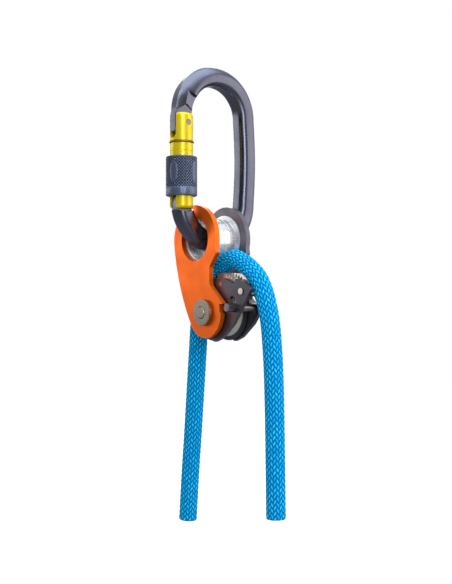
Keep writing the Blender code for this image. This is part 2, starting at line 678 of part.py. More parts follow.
def make_axle(parent, look):
    """The axle, stepped down for the front plate, with a rear head; and its front collar and cam washer."""
    collar_in = FRONT_OUT + GAP
    collar_out = collar_in + COLLAR_THICKNESS
    head_in = BACK_OUT + GAP
    head_out = head_in + REAR_HEAD_THICKNESS
    edge = AXLE_EDGE
    axle = [
        (-collar_out - AXLE_DOME, 0), (-collar_out - AXLE_DOME, AXLE_END_RADIUS - edge),
        (-collar_out, AXLE_END_RADIUS), (-FRONT_IN, AXLE_END_RADIUS), (-FRONT_IN, AXLE_RADIUS),
        (head_in, AXLE_RADIUS), (head_in, REAR_HEAD_RADIUS), (head_out - edge, REAR_HEAD_RADIUS),
        (head_out, REAR_HEAD_RADIUS - edge), (head_out, 0),
    ]
    add_mesh("main_axle", turned(axle, PIVOT_AT, "X", MEDIUM_SIDES), parent, look["axle"])
    ring = tube_profile(-collar_out, -collar_in, AXLE_END_RADIUS + GAP, COLLAR_RADIUS, edge)
    add_mesh("axle_front_collar", turned(ring, PIVOT_AT, "X", MEDIUM_SIDES), parent, look["collar"])
    thin = tube_profile(-WASHER_IN - WASHER, -WASHER_IN, AXLE_RADIUS + GAP, WASHER_RADIUS, THIN_EDGE)
    add_mesh("cam_front_washer", turned(thin, PIVOT_AT, "X", MEDIUM_SIDES), parent, look["steel"])


def make_sheave(parent, look):
    bush_in = AXLE_RADIUS + GAP
    bush_out = bush_in + BUSHING_WALL
    bush = tube_profile(-SHEAVE_HALF, SHEAVE_HALF, bush_in, bush_out, THIN_EDGE)
    add_mesh("sheave_bushing", turned(bush, PIVOT_AT, "X", MEDIUM_SIDES), parent, look["bushing"])
    groove = [
        (SHEAVE_GROOVE * math.cos(t), SHEAVE_FLANGE - SHEAVE_GROOVE * math.sin(t))
        for t in (math.pi * (1 - i / 10) for i in range(11))
    ]
    bore = bush_out + GAP
    profile = [(-SHEAVE_HALF, bore), (-SHEAVE_HALF, SHEAVE_FLANGE)] + groove
    profile += [(SHEAVE_HALF, SHEAVE_FLANGE), (SHEAVE_HALF, bore)]
    add_mesh("sheave", turned(profile, PIVOT_AT, "X", FINE_SIDES), parent, look["sheave"])


def cam_outline():
    """A cam cheek about its pivot: the tooth shelf, a notch, the far corner, and a long edge down to the foot."""
    back = CAM_BACK_RADIUS
    return rounded([
        (*CAM_SHELF_START, CAM_SMALL_ROUND),
        (*CAM_SHELF_END, CAM_WIDE_ROUND),
        (*CAM_NOTCH, CAM_TIGHT_ROUND),
        (*CAM_HORN, CAM_TIGHT_ROUND),
        (*CAM_BROW, CAM_WIDE_ROUND),
        (*CAM_CORNER, CAM_TIGHT_ROUND),
        (*CAM_BELLY, CAM_BELLY_ROUND),
        (*CAM_HEEL, CAM_WIDE_ROUND),
        (*CAM_FOOT, CAM_SMALL_ROUND),
        (0, -back, CAM_SMALL_ROUND),
        (-0.75 * back, -0.75 * back, CAM_WIDE_ROUND),
        (-back, 0, CAM_WIDE_ROUND),
        (-0.6 * back, back, CAM_WIDE_ROUND),
    ])


def lock_slot():
    """The slot that the lock pin slides in, as (u, w) points about the pivot."""
    half = LOCK_PIN_RADIUS + GAP
    end = lock_pin_moved(LOCK_TRAVEL)
    side = LOCK_DIRECTION + math.pi / 2
    return arc(LOCK_PIN, half, side, side + math.pi, 10) + arc(end, half, side - math.pi, side, 10)


def lock_pin_moved(travel):
    return (
        LOCK_PIN[0] + travel * math.cos(LOCK_DIRECTION),
        LOCK_PIN[1] + travel * math.sin(LOCK_DIRECTION),
    )


def make_cam_plate(name, start, end, parent, look):
    plate = add_mesh(name, slab(from_pivot(cam_outline()), ASCENDER_X + start, ASCENDER_X + end, "X"), parent, look)
    combine(plate, axle_hole(AXLE_RADIUS + GAP, f"{name}_axle_hole", parent))
    slot = slab(from_pivot(lock_slot()), ASCENDER_X + start - ROD, ASCENDER_X + end + ROD, "X")
    combine(plate, cutter(f"{name}_slot", slot, parent))
    for place, radius in ((INNER_RIVET, INNER_RIVET_RADIUS), (OUTER_RIVET, OUTER_RIVET_RADIUS)):
        hole = rod_profile(start - ROD, end + ROD, radius + GAP)
        cut = cutter(f"{name}_rivet_hole", turned(hole, pivot_point(place, 0), "X", COARSE_SIDES), parent)
        combine(plate, cut)
    soften(plate, CAM_EDGE)


def tooth_radius(turn):
    """The tooth tips' radius, which grows as the cam closes."""
    share = (TEETH_FROM - turn) / (TEETH_FROM - TEETH_TO)
    return TEETH_LOW_RADIUS + (TEETH_HIGH_RADIUS - TEETH_LOW_RADIUS) * share**TEETH_GROWTH


def make_cam_teeth(parent, look):
    """The toothed insert: a ring sector over the sheave with saw teeth that lean against the rope's run."""
    pitch = (TEETH_FROM - TEETH_TO) / TEETH
    teeth = []
    for i in range(TEETH):
        turn = TEETH_FROM - pitch * i
        tip = tooth_radius(turn - 0.2 * pitch)
        teeth.append((turn, tip - TOOTH_HEIGHT))
        teeth.append((turn - 0.2 * pitch, tip))
        teeth.append((turn - 0.4 * pitch, tip))
    teeth.append((TEETH_TO, tooth_radius(TEETH_TO) - TOOTH_HEIGHT))
    outline = [(radius * math.cos(turn), radius * math.sin(turn)) for turn, radius in teeth]
    outline += arc((0, 0), SHEAVE_FLANGE + RUN_GAP, TEETH_TO, TEETH_FROM, 10)
    block = slab(from_pivot(outline), ASCENDER_X - SHEAVE_HALF, ASCENDER_X + SHEAVE_HALF, "X")
    insert = add_mesh("cam_teeth", block, parent, look["teeth"])
    floor = math.hypot(*INNER_RIVET)
    low = TEETH_TO - TOOTH_SLOT_PAST
    high = TEETH_FROM + TOOTH_SLOT_PAST
    outside = arc((0, 0), 2 * TEETH_HIGH_RADIUS, low, high, 12)
    inside = arc((0, 0), floor, high, low, 16)
    slot = slab(from_pivot(outside + inside), ASCENDER_X - TOOTH_SLOT / 2, ASCENDER_X + TOOTH_SLOT / 2, "X")
    combine(insert, cutter("cam_teeth_slot", slot, parent))
    hole = rod_profile(-ROD, ROD, INNER_RIVET_RADIUS + GAP)
    combine(insert, cutter("cam_teeth_hole", turned(hole, pivot_point(INNER_RIVET, 0), "X", COARSE_SIDES), parent))


def make_cam_rivets(parent, look):
    """Rivets that hold the cheeks together: one through the insert, one with a spacer at the far corner."""
    head_in = CAM_OUT
    head_out = head_in + RIVET_HEAD
    inner = rod_profile(-head_in, CAM_SPRING_X + CAM_SPRING_WIRE, INNER_RIVET_RADIUS)
    add_mesh("cam_inner_rivet", turned(inner, pivot_point(INNER_RIVET, 0), "X", COARSE_SIDES), parent, look["rivet"])
    spacer = CAM_IN - GAP
    seat = head_in + GAP
    outer = [
        (-seat - RIVET_HEAD, 0), (-seat - RIVET_HEAD, RIVET_HEAD_RADIUS - RIVET_HEAD / 2),
        (-seat - RIVET_HEAD / 2, RIVET_HEAD_RADIUS), (-seat, RIVET_HEAD_RADIUS),
        (-seat, OUTER_RIVET_RADIUS), (-spacer, OUTER_RIVET_RADIUS), (-spacer, OUTER_SPACER_RADIUS),
        (spacer, OUTER_SPACER_RADIUS), (spacer, OUTER_RIVET_RADIUS), (head_out, OUTER_RIVET_RADIUS), (head_out, 0),
    ]
    add_mesh("cam_outer_rivet", turned(outer, pivot_point(OUTER_RIVET, 0), "X", COARSE_SIDES), parent, look["steel"])


def make_lock_pin(parent, cam_joint, look):
    reach = CAM_OUT + LOCK_PIN_PROUD
    edge = LOCK_PIN_EDGE
    pin = [
        (-reach, 0), (-reach, LOCK_PIN_RADIUS - edge), (-reach + edge, LOCK_PIN_RADIUS),
        (reach - edge, LOCK_PIN_RADIUS), (reach, LOCK_PIN_RADIUS - edge), (reach, 0),
    ]
    add_mesh("lock_pin", turned(pin, pivot_point(LOCK_PIN, 0), "X", COARSE_SIDES), parent, look["pin"])
    coil = OUTER_SPACER_RADIUS + LOCK_SPRING_WIRE + GAP
    rise = LOCK_SPRING_PITCH * LOCK_SPRING_WIRE
    start = CAM_IN - LOCK_SPRING_WIRE - GAP
    points = []
    steps = TURN_STEPS * LOCK_SPRING_TURNS
    begin = math.atan2(LOCK_PIN[1] - OUTER_RIVET[1], LOCK_PIN[0] - OUTER_RIVET[0]) + math.pi / 2
    for i in range(steps + 1):
        turn = begin + 2 * math.pi * i / TURN_STEPS
        place = (OUTER_RIVET[0] + coil * math.cos(turn), OUTER_RIVET[1] + coil * math.sin(turn))
        points.append(pivot_point(place, start - rise * i / TURN_STEPS))
    away = (LOCK_PIN[0] - OUTER_RIVET[0], LOCK_PIN[1] - OUTER_RIVET[1])
    length = math.hypot(*away)
    leg = length - LOCK_PIN_RADIUS - LOCK_SPRING_WIRE - GAP
    first = (
        OUTER_RIVET[0] + coil * math.cos(begin) + leg * away[0] / length,
        OUTER_RIVET[1] + coil * math.sin(begin) + leg * away[1] / length,
    )
    points.insert(0, pivot_point(first, start))
    wire("lock_pin_spring", points, LOCK_SPRING_WIRE, cam_joint, look["spring"])


def make_cam_spring(parent, look):
    """A flat spiral from the axle out to the inner rivet's tail."""
    low = AXLE_RADIUS + GAP + CAM_SPRING_WIRE
    high = math.hypot(*INNER_RIVET) - INNER_RIVET_RADIUS - GAP - CAM_SPRING_WIRE
    finish = math.atan2(INNER_RIVET[1], INNER_RIVET[0])
    steps = round(20 * CAM_SPRING_TURNS)
    points = []
    for i in range(steps + 1):
        share = i / steps
        turn = finish - 2 * math.pi * CAM_SPRING_TURNS * (1 - share)
        radius = low + (high - low) * share
        points.append(pivot_point((radius * math.cos(turn), radius * math.sin(turn)), CAM_SPRING_X))
    wire("cam_spring", points, CAM_SPRING_WIRE, parent, look["spring"])


def make_rope(parent, look):
    """One rope in three solids, which meet end to end with a small gap."""
    route = [pivot_point((u * MM, w * MM), 0) for points in ROPE_STRETCHES.values() for u, w in points]
    last = len(route) - 1
    square = ROPE_RADIUS / 2
    start = 0
    end = -1
    for name, points in ROPE_STRETCHES.items():
        end += len(points)
        line = smooth_line(route, start, end, ROPE_STEP)
        if start > 0:
            along = (route[start + 1] - route[start - 1]).normalized()
            line[:1] = [route[start] + along * GAP / 2, route[start] + along * square]
        if end < last:
            along = (route[end + 1] - route[end - 1]).normalized()
            line[-1:] = [route[end] - along * square, route[end] - along * GAP / 2]
        wire(name, line, ROPE_RADIUS, parent, look, resolution=ROPE_RESOLUTION)
        start = end


def make_looks():
    return {
        "connector": material("connector_grey", (0.16, 0.17, 0.21), 0.32, 0.9),
        "gate": material("gate_yellow", (0.85, 0.68, 0.04), 0.32, 0.6),
        "sleeve": material("sleeve_grey", (0.11, 0.13, 0.17), 0.45, 0.6),
        "ring": material("ring_brass", (0.55, 0.33, 0.12), 0.35, 1.0),
        "front": material("plate_orange", (0.80, 0.13, 0.01), 0.35, 0.6),
        "back": material("plate_dark", (0.035, 0.036, 0.045), 0.4, 0.6),
        "drum": material("drum_polished", (0.86, 0.86, 0.86), 0.12, 1.0),
        "axle": material("axle_steel", (0.42, 0.38, 0.34), 0.35, 1.0),
        "collar": material("collar_steel", (0.32, 0.29, 0.26), 0.4, 1.0),
        "cam": material("cam_dark", (0.10, 0.09, 0.11), 0.38, 0.8),
        "teeth": material("teeth_steel", (0.62, 0.60, 0.55), 0.35, 1.0),
        "sheave": material("sheave_pale", (0.45, 0.44, 0.36), 0.45, 0.2),
        "bushing": material("bushing_bronze", (0.45, 0.28, 0.12), 0.4, 1.0),
        "pin": material("pin_steel", (0.38, 0.34, 0.34), 0.35, 1.0),
        "rivet": material("rivet_steel", (0.45, 0.36, 0.30), 0.35, 1.0),
        "steel": material("bright_steel", (0.60, 0.57, 0.53), 0.28, 1.0),
        "spring": material("spring_steel", (0.50, 0.50, 0.50), 0.3, 1.0),
        "rope": material("rope_blue", (0.0, 0.26, 0.62), 0.85, 0.0),
    }


def main():
    clear_scene()
    look = make_looks()
    connector = joint("connector", CONNECTOR_AT)
    gate = joint("gate_hinge", GATE_HINGE_AT, connector)
    plunger = joint("plunger_slide", GATE_HINGE_AT, gate)
    sleeve = joint("sleeve_slide", GATE_HINGE_AT, gate)
    ascender = joint("ascender_swing", EYE_AT, connector)
    front = joint("front_plate_pivot", PIVOT_AT, ascender)
    cam = joint("cam_pivot", PIVOT_AT, ascender)
    lock = joint("lock_pin_slide", pivot_point(LOCK_PIN, 0), cam)
    wheel = joint("sheave_spin", PIVOT_AT, ascender)
    make_connector(connector, look)
    make_gate(gate, plunger, look)
    make_sleeve(sleeve, look)
    make_side_plate("front_plate", -FRONT_OUT, -FRONT_IN, AXLE_END_RADIUS + GAP, front, look["front"])
    make_side_plate("back_plate", BACK_IN, BACK_OUT, AXLE_RADIUS + GAP, ascender, look["back"])
    make_drum(ascender, look["drum"])
    make_axle(ascender, look)
    make_sheave(wheel, look)
    make_cam_plate("cam_front_plate", -CAM_OUT, -CAM_IN, cam, look["cam"])
    make_cam_plate("cam_rear_plate", CAM_IN, CAM_OUT, cam, look["cam"])
    make_cam_teeth(cam, look)
    make_cam_rivets(cam, look)
    make_cam_spring(ascender, look)
    make_lock_pin(lock, cam, look)
    make_rope(ascender, look["rope"])


main()
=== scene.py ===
# %% [markdown]
# # Rope ascender on an oval connector
#
# A pulley-type ascender hangs from an oval screw-gate connector, with a short blue rope over its drum and
# cam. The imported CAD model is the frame. The rope, the connector's body, the knurled sleeve and the gate's
# spring are rebuilt here. Every other CAD node keeps its shape and gets a procedural material.

import json
import math

import bmesh
import bpy
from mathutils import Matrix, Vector


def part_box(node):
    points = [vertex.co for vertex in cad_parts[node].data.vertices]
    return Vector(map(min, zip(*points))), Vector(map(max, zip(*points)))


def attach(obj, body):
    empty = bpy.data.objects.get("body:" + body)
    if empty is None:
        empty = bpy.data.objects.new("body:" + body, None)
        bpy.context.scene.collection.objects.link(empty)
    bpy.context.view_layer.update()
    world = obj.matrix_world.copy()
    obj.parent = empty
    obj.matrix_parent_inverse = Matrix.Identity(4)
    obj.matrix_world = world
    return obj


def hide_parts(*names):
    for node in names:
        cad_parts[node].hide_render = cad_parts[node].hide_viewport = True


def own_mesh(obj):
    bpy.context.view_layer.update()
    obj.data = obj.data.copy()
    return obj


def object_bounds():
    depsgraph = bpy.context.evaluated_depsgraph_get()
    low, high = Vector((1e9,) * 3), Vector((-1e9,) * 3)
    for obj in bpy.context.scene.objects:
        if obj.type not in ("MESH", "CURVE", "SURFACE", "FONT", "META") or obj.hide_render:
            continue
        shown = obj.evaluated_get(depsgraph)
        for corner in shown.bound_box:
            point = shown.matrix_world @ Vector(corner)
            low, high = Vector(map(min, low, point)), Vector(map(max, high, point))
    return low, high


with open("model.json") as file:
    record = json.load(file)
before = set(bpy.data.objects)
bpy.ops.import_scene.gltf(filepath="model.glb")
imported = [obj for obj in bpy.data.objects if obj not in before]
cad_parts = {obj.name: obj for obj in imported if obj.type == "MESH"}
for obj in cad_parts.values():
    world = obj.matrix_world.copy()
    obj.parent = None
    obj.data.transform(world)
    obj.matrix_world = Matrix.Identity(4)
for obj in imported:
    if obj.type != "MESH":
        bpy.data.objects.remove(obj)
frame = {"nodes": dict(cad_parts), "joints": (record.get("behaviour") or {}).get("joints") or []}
cad_low, cad_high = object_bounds()
nodes = frame["nodes"]
scene = bpy.context.scene
MM = 0.001

# %% [markdown]
# ## Places
#
# The eye, the cam's pivot and the gate's hinge could be typed in again, but then they could drift from the
# CAD. They come from the frame's own joints instead, so that what is built here sits where the CAD sits.
# Seen from the front plate, u runs to the right (-Y) and w runs up.

# %% Joint places
joints = {joint["name"]: joint for joint in frame["joints"]}
eye = Vector(joints["ascender_swing"]["pos_m"])
pivot = Vector(joints["cam_pivot"]["pos_m"])
gate_hinge = Vector(joints["gate_hinge"]["pos_m"])


def pivot_point(u, w):
    """A point of the rope's plane, from (u, w) in millimetres about the cam's pivot."""
    return pivot + Vector((0, -u, w)) * MM


print("eye", tuple(eye), "pivot", tuple(pivot))

# %% [markdown]
# ## Camera
#
# The photograph looks along the horizon, from the front plate's side, with the cam turned towards the lens.
# The camera stands level, so that upright edges stay upright, and its place is worked out from the eye.

# %% Camera
CAMERA_AZIMUTH = math.radians(-39.4)
CAMERA_DISTANCE = 0.570
CAMERA_RIGHT = 0.0089
CAMERA_DROP = 0.0311
LENS = 58.4
SENSOR_WIDTH = 36
CLIP_START = 0.01

towards = Vector((math.sin(CAMERA_AZIMUTH), -math.cos(CAMERA_AZIMUTH), 0))
right = Vector((math.cos(CAMERA_AZIMUTH), math.sin(CAMERA_AZIMUTH), 0))
camera = bpy.data.objects.new("camera", bpy.data.cameras.new("camera"))
camera.data.lens = LENS
camera.data.sensor_width = SENSOR_WIDTH
camera.data.clip_start = CLIP_START
camera.location = eye + towards * CAMERA_DISTANCE + right * CAMERA_RIGHT - Vector((0, 0, CAMERA_DROP))
camera.rotation_euler = towards.to_track_quat("Z", "Y").to_euler()
scene.collection.objects.link(camera)
scene.camera = camera
scene.view_settings.view_transform = "Standard"
print("camera at", tuple(round(value, 4) for value in camera.location))

# %% [markdown]
# ## Lights
#
# Turned and forged metal shows its form by what it mirrors. One big lamp would flatten it, so there are a
# tall key light beside the camera, a wide light above, a warm card on the right, a small light at the back
# left and a light from behind. A fill on the left lightens matt surfaces, and no metal mirrors it.

# %% Lights


def compass(azimuth, elevation):
    """The direction from the object at an azimuth and elevation in degrees; azimuth 0 is -Y, 90 is +X."""
    a = math.radians(azimuth)
    e = math.radians(elevation)
    return Vector((math.sin(a) * math.cos(e), -math.cos(a) * math.cos(e), math.sin(e)))


def area_light(name, azimuth, elevation, distance, width, height, energy, colour):
    """A soft light that faces the ascender."""
    light = bpy.data.lights.new(name, "AREA")
    light.shape = "RECTANGLE"
    light.size = width
    light.size_y = height
    light.energy = energy
    light.color = colour
    way = compass(azimuth, elevation)
    made = bpy.data.objects.new(name, light)
    made.location = eye + way * distance
    made.rotation_euler = way.to_track_quat("Z", "Y").to_euler()
    scene.collection.objects.link(made)
    return made


area_light("key", -24, 14, 0.9, 0.30, 0.9, 5.0, (0.90, 0.95, 1.0))
area_light("top", 10, 70, 0.9, 0.8, 0.8, 6.0, (0.84, 0.92, 1.0))
area_light("card", 48, 8, 1.0, 0.7, 1.0, 4.3, (1.0, 0.95, 0.94))
area_light("left", -141, 9, 1.0, 0.5, 0.36, 1.05, (1.0, 0.97, 0.94))
area_light("back", 150, 30, 1.0, 0.6, 0.8, 4.0, (1.0, 1.0, 1.0))
fill = area_light("fill", -98, 6, 1.0, 0.8, 0.8, 2.0, (1.0, 0.98, 0.96))
fill.visible_glossy = False

# %% [markdown]
# ## Studio around the object
#
# The backdrop is plain white to the camera. Metal mirrors it too, where it stands behind the object, and
# mirrors a dim room elsewhere: bluish above and dark on the left, which draws the dark bands along the
# connector's spine.

# %% World
BEHIND = -towards
DARK_SIDE = compass(-92, -10)
UPWARDS = (0, 0, 1)
WALL_COLOUR = (1.0, 0.98, 0.97, 1)
CEILING_COLOUR = (0.72, 0.88, 1.0, 1)
ROOM_DIM = 0.25
ROOM_DARK = 0.03
ROOM_TOP = 0.6


def make_world():
    world = bpy.data.worlds.new("studio")
    scene.world = world
    world.use_nodes = True
    tree = world.node_tree
    tree.nodes.clear()
    place = tree.nodes.new("ShaderNodeTexCoord")

    def facing(way, low, high, start, end):
        """A smooth step from start to end as a ray turns towards a direction."""
        dot = tree.nodes.new("ShaderNodeVectorMath")
        dot.operation = "DOT_PRODUCT"
        dot.inputs[1].default_value = way
        step = tree.nodes.new("ShaderNodeMapRange")
        step.interpolation_type = "SMOOTHSTEP"
        for label, value in (("From Min", low), ("From Max", high), ("To Min", start), ("To Max", end)):
            step.inputs[label].default_value = value
        tree.links.new(place.outputs["Generated"], dot.inputs[0])
        tree.links.new(dot.outputs["Value"], step.inputs["Value"])
        return step.outputs["Result"]

    def combine(operation, first, second):
        node = tree.nodes.new("ShaderNodeMath")
        node.operation = operation
        node.use_clamp = operation == "ADD"
        tree.links.new(first, node.inputs[0])
        tree.links.new(second, node.inputs[1])
        return node.outputs[0]

    dark = facing(DARK_SIDE, 0.55, 0.93, ROOM_DIM, ROOM_DARK)
    top = facing(UPWARDS, 0.35, 0.75, 0.0, ROOM_TOP)
    backdrop = facing(BEHIND, 0.1, 0.6, 0.0, 1.0)
    ray = tree.nodes.new("ShaderNodeLightPath")
    mirrored = combine("ADD", ray.outputs["Is Glossy Ray"], ray.outputs["Is Transmission Ray"])
    seen = combine("ADD", ray.outputs["Is Camera Ray"], combine("MULTIPLY", mirrored, backdrop))
    walls = tree.nodes.new("ShaderNodeBackground")
    walls.inputs["Color"].default_value = WALL_COLOUR
    tree.links.new(dark, walls.inputs["Strength"])
    ceiling = tree.nodes.new("ShaderNodeBackground")
    ceiling.inputs["Color"].default_value = CEILING_COLOUR
    tree.links.new(top, ceiling.inputs["Strength"])
    white = tree.nodes.new("ShaderNodeBackground")
    white.inputs["Color"].default_value = (1, 1, 1, 1)
    room = tree.nodes.new("ShaderNodeAddShader")
    mix = tree.nodes.new("ShaderNodeMixShader")
    out = tree.nodes.new("ShaderNodeOutputWorld")
    tree.links.new(walls.outputs["Background"], room.inputs[0])
    tree.links.new(ceiling.outputs["Background"], room.inputs[1])
    tree.links.new(seen, mix.inputs["Fac"])
    tree.links.new(room.outputs["Shader"], mix.inputs[1])
    tree.links.new(white.outputs["Background"], mix.inputs[2])
    tree.links.new(mix.outputs["Shader"], out.inputs["Surface"])


make_world()
print("world", scene.world.name)

# %% [markdown]
# ## Floor
#
# A pale floor lies under the hanging rope ends. To the camera it glows almost white and takes the rest from
# the light that falls on it, so that the object's shadow stays on it. For all other rays it is a matt sheet.

# %% Floor
FLOOR_BELOW = 0.06
FLOOR_Z = cad_low.z - FLOOR_BELOW
FLOOR_HALF = 2.5
FLOOR_GLOW = 0.84
FLOOR_SHADE = 0.30
FLOOR_MATT = 0.24


def make_floor():
    bm = bmesh.new()
    corners = [(-1, -1), (1, -1), (1, 1), (-1, 1)]
    bm.faces.new([bm.verts.new((x * FLOOR_HALF, y * FLOOR_HALF, FLOOR_Z)) for x, y in corners])
    mesh = bpy.data.meshes.new("floor")
    bm.to_mesh(mesh)
    bm.free()
    floor = bpy.data.objects.new("floor", mesh)
    scene.collection.objects.link(floor)
    look = bpy.data.materials.new("floor_white")
    look.use_nodes = True
    tree = look.node_tree
    tree.nodes.clear()
    matt = tree.nodes.new("ShaderNodeBsdfDiffuse")
    matt.inputs["Color"].default_value = (FLOOR_MATT, FLOOR_MATT, FLOOR_MATT, 1)
    shaded = tree.nodes.new("ShaderNodeBsdfDiffuse")
    shaded.inputs["Color"].default_value = (FLOOR_SHADE, FLOOR_SHADE, FLOOR_SHADE, 1)
    glow = tree.nodes.new("ShaderNodeEmission")
    glow.inputs["Strength"].default_value = FLOOR_GLOW
    both = tree.nodes.new("ShaderNodeAddShader")
    ray = tree.nodes.new("ShaderNodeLightPath")
    mix = tree.nodes.new("ShaderNodeMixShader")
    out = tree.nodes.new("ShaderNodeOutputMaterial")
    tree.links.new(shaded.outputs["BSDF"], both.inputs[0])
    tree.links.new(glow.outputs["Emission"], both.inputs[1])
    tree.links.new(ray.outputs["Is Camera Ray"], mix.inputs["Fac"])
    tree.links.new(matt.outputs["BSDF"], mix.inputs[1])
    tree.links.new(both.outputs["Shader"], mix.inputs[2])
    tree.links.new(mix.outputs["Shader"], out.inputs["Surface"])
    mesh.materials.append(look)


make_floor()
print("floor at", round(FLOOR_Z, 3))

# %% [markdown]
# ## Mesh helpers
#
# Rods, ropes and turned parts are all rings of points joined in order. Primitives could be bent into shape,
# but rings from a formula keep every section under control.

# %% Mesh helpers


def add_piece(name, bm, body):
    """A smooth mesh object from a bmesh, riding on a CAD body."""
    mesh = bpy.data.meshes.new(name)
    bmesh.ops.recalc_face_normals(bm, faces=bm.faces)
    bm.to_mesh(mesh)
    bm.free()
    mesh.shade_smooth()
    made = bpy.data.objects.new(name, mesh)
    scene.collection.objects.link(made)
    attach(made, body)
    return made


def join_rings(bm, rings, closed=False):
    """Joins rings of equally many vertices, and returns the new faces row by row."""
    rows = []
    pairs = list(zip(rings, rings[1:]))
    if closed:
        pairs.append((rings[-1], rings[0]))
    for first, second in pairs:
        count = len(first)
        row = []
        for i in range(count):
            j = (i + 1) % count
            row.append(bm.faces.new((first[i], first[j], second[j], second[i])))
        rows.append(row)
    return rows


def solid_from_rings(rings):
    """A closed bmesh through rings of points."""
    bm = bmesh.new()
    made = [[bm.verts.new(point) for point in ring] for ring in rings]
    join_rings(bm, made)
    bm.faces.new(made[0])
    bm.faces.new(made[-1])
    bmesh.ops.recalc_face_normals(bm, faces=bm.faces)
    return bm


# %% [markdown]
# ## CAD triangles
#
# A CAD node's mesh comes as loose triangles with stored normals, and it stays as it is. A small geometry node
# group on the object leaves the stored normals out, joins the triangles and smooths all but the sharp edges.

# %% Soft edges
WELD_DISTANCE = 2e-6
CAD_SHARP = math.radians(32)


def make_soft_edges():
    tree = bpy.data.node_groups.new("soft_edges", "GeometryNodeTree")
    tree.interface.new_socket("Geometry", in_out="INPUT", socket_type="NodeSocketGeometry")
    tree.interface.new_socket("Geometry", in_out="OUTPUT", socket_type="NodeSocketGeometry")
    start = tree.nodes.new("NodeGroupInput")
    end = tree.nodes.new("NodeGroupOutput")
    plain = tree.nodes.new("GeometryNodeRemoveAttribute")
    plain.inputs["Name"].default_value = "custom_normal"
    weld = tree.nodes.new("GeometryNodeMergeByDistance")
    weld.inputs["Distance"].default_value = WELD_DISTANCE
    smooth = tree.nodes.new("GeometryNodeSetShadeSmooth")
    sharp = tree.nodes.new("GeometryNodeSetShadeSmooth")
    sharp.domain = "EDGE"
    sharp.inputs["Shade Smooth"].default_value = False
    angle = tree.nodes.new("GeometryNodeInputMeshEdgeAngle")
    test = tree.nodes.new("FunctionNodeCompare")
    test.operation = "GREATER_THAN"
    test.inputs["B"].default_value = CAD_SHARP
    tree.links.new(start.outputs[0], plain.inputs["Geometry"])
    tree.links.new(plain.outputs["Geometry"], weld.inputs["Geometry"])
    tree.links.new(weld.outputs["Geometry"], smooth.inputs["Geometry"])
    tree.links.new(smooth.outputs["Geometry"], sharp.inputs["Geometry"])
    tree.links.new(angle.outputs["Unsigned Angle"], test.inputs["A"])
    tree.links.new(test.outputs["Result"], sharp.inputs["Selection"])
    tree.links.new(sharp.outputs["Geometry"], end.inputs[0])
    return tree


soft_edges = make_soft_edges()
for node in nodes.values():
    node.modifiers.new("soft_edges", "NODES").node_group = soft_edges
print("soft edges on", len(nodes), "nodes")

# %% [markdown]
# ## Shared effects
#
# Grain, scratches, worn edges with a painted highlight, and lathe rings turn up on many of the metals. Each
# is a shader node group that is built once and placed in each material with its own values. Colours are
# written as screen values from 0 to 255, and turned into the linear values that the shader works in.

# %% Node helpers


def linear(value):
    """The linear share of one screen value from 0 to 255, by the sRGB rule."""
    if value <= 10:
        return value / 255 / 12.92
    return ((value / 255 + 0.055) / 1.055) ** 2.4


def srgb(*values):
    """A linear colour from screen values."""
    return tuple(linear(value) for value in values)


def new_group(name, inputs, outputs):
    """An empty shader node group with float inputs (name: default) and float outputs."""
    tree = bpy.data.node_groups.new(name, "ShaderNodeTree")
    for label, value in inputs.items():
        socket = tree.interface.new_socket(label, in_out="INPUT", socket_type="NodeSocketFloat")
        socket.default_value = value
    for label in outputs:
        tree.interface.new_socket(label, in_out="OUTPUT", socket_type="NodeSocketFloat")
    return tree, tree.nodes.new("NodeGroupInput"), tree.nodes.new("NodeGroupOutput")


def math_node(tree, operation, first, second=0.0, third=None):
    """A math node whose operands are sockets or numbers; returns its output socket."""
    node = tree.nodes.new("ShaderNodeMath")
    node.operation = operation
    for place, value in enumerate((first, second, third)):
        if isinstance(value, bpy.types.NodeSocket):
            tree.links.new(value, node.inputs[place])
        elif value is not None:
            node.inputs[place].default_value = value
    return node.outputs[0]


def ramp(tree, value, low, high, start=0.0, end=1.0):
    """A smooth step from start to end as value goes from low to high."""
    node = tree.nodes.new("ShaderNodeMapRange")
    node.interpolation_type = "SMOOTHSTEP"
    node.inputs["From Min"].default_value = low
    node.inputs["From Max"].default_value = high
    node.inputs["To Min"].default_value = start
    node.inputs["To Max"].default_value = end
    tree.links.new(value, node.inputs["Value"])
    return node.outputs["Result"]


def noise(tree, vector, scale, detail=4.0):
    node = tree.nodes.new("ShaderNodeTexNoise")
    node.inputs["Detail"].default_value = detail
    if isinstance(scale, bpy.types.NodeSocket):
        tree.links.new(scale, node.inputs["Scale"])
    else:
        node.inputs["Scale"].default_value = scale
    tree.links.new(vector, node.inputs["Vector"])
    return node.outputs[0]


def object_place(tree, stretch=(1, 1, 1), turn=(0, 0, 0)):
    """Object coordinates, turned and stretched."""
    place = tree.nodes.new("ShaderNodeTexCoord")
    change = tree.nodes.new("ShaderNodeMapping")
    change.inputs["Scale"].default_value = stretch
    change.inputs["Rotation"].default_value = turn
    tree.links.new(place.outputs["Object"], change.inputs["Vector"])
    return change.outputs["Vector"]


# %% Grain
BROAD_SCALE = 90.0
FINE_SHARE = 0.35


def make_grain():
    """Blasted metal: a broad tone that drifts over the part, and a fine height."""
    tree, start, end = new_group("grain", {"Scale": 2500.0}, ("Tone", "Height"))
    place = object_place(tree)
    fine = noise(tree, place, start.outputs["Scale"], 3)
    broad = noise(tree, place, BROAD_SCALE, 3)
    broad_part = math_node(tree, "MULTIPLY", broad, 1 - FINE_SHARE)
    mixed = math_node(tree, "MULTIPLY_ADD", fine, FINE_SHARE, broad_part)
    tree.links.new(ramp(tree, mixed, 0.3, 0.7), end.inputs["Tone"])
    tree.links.new(fine, end.inputs["Height"])
    return tree


grain = make_grain()

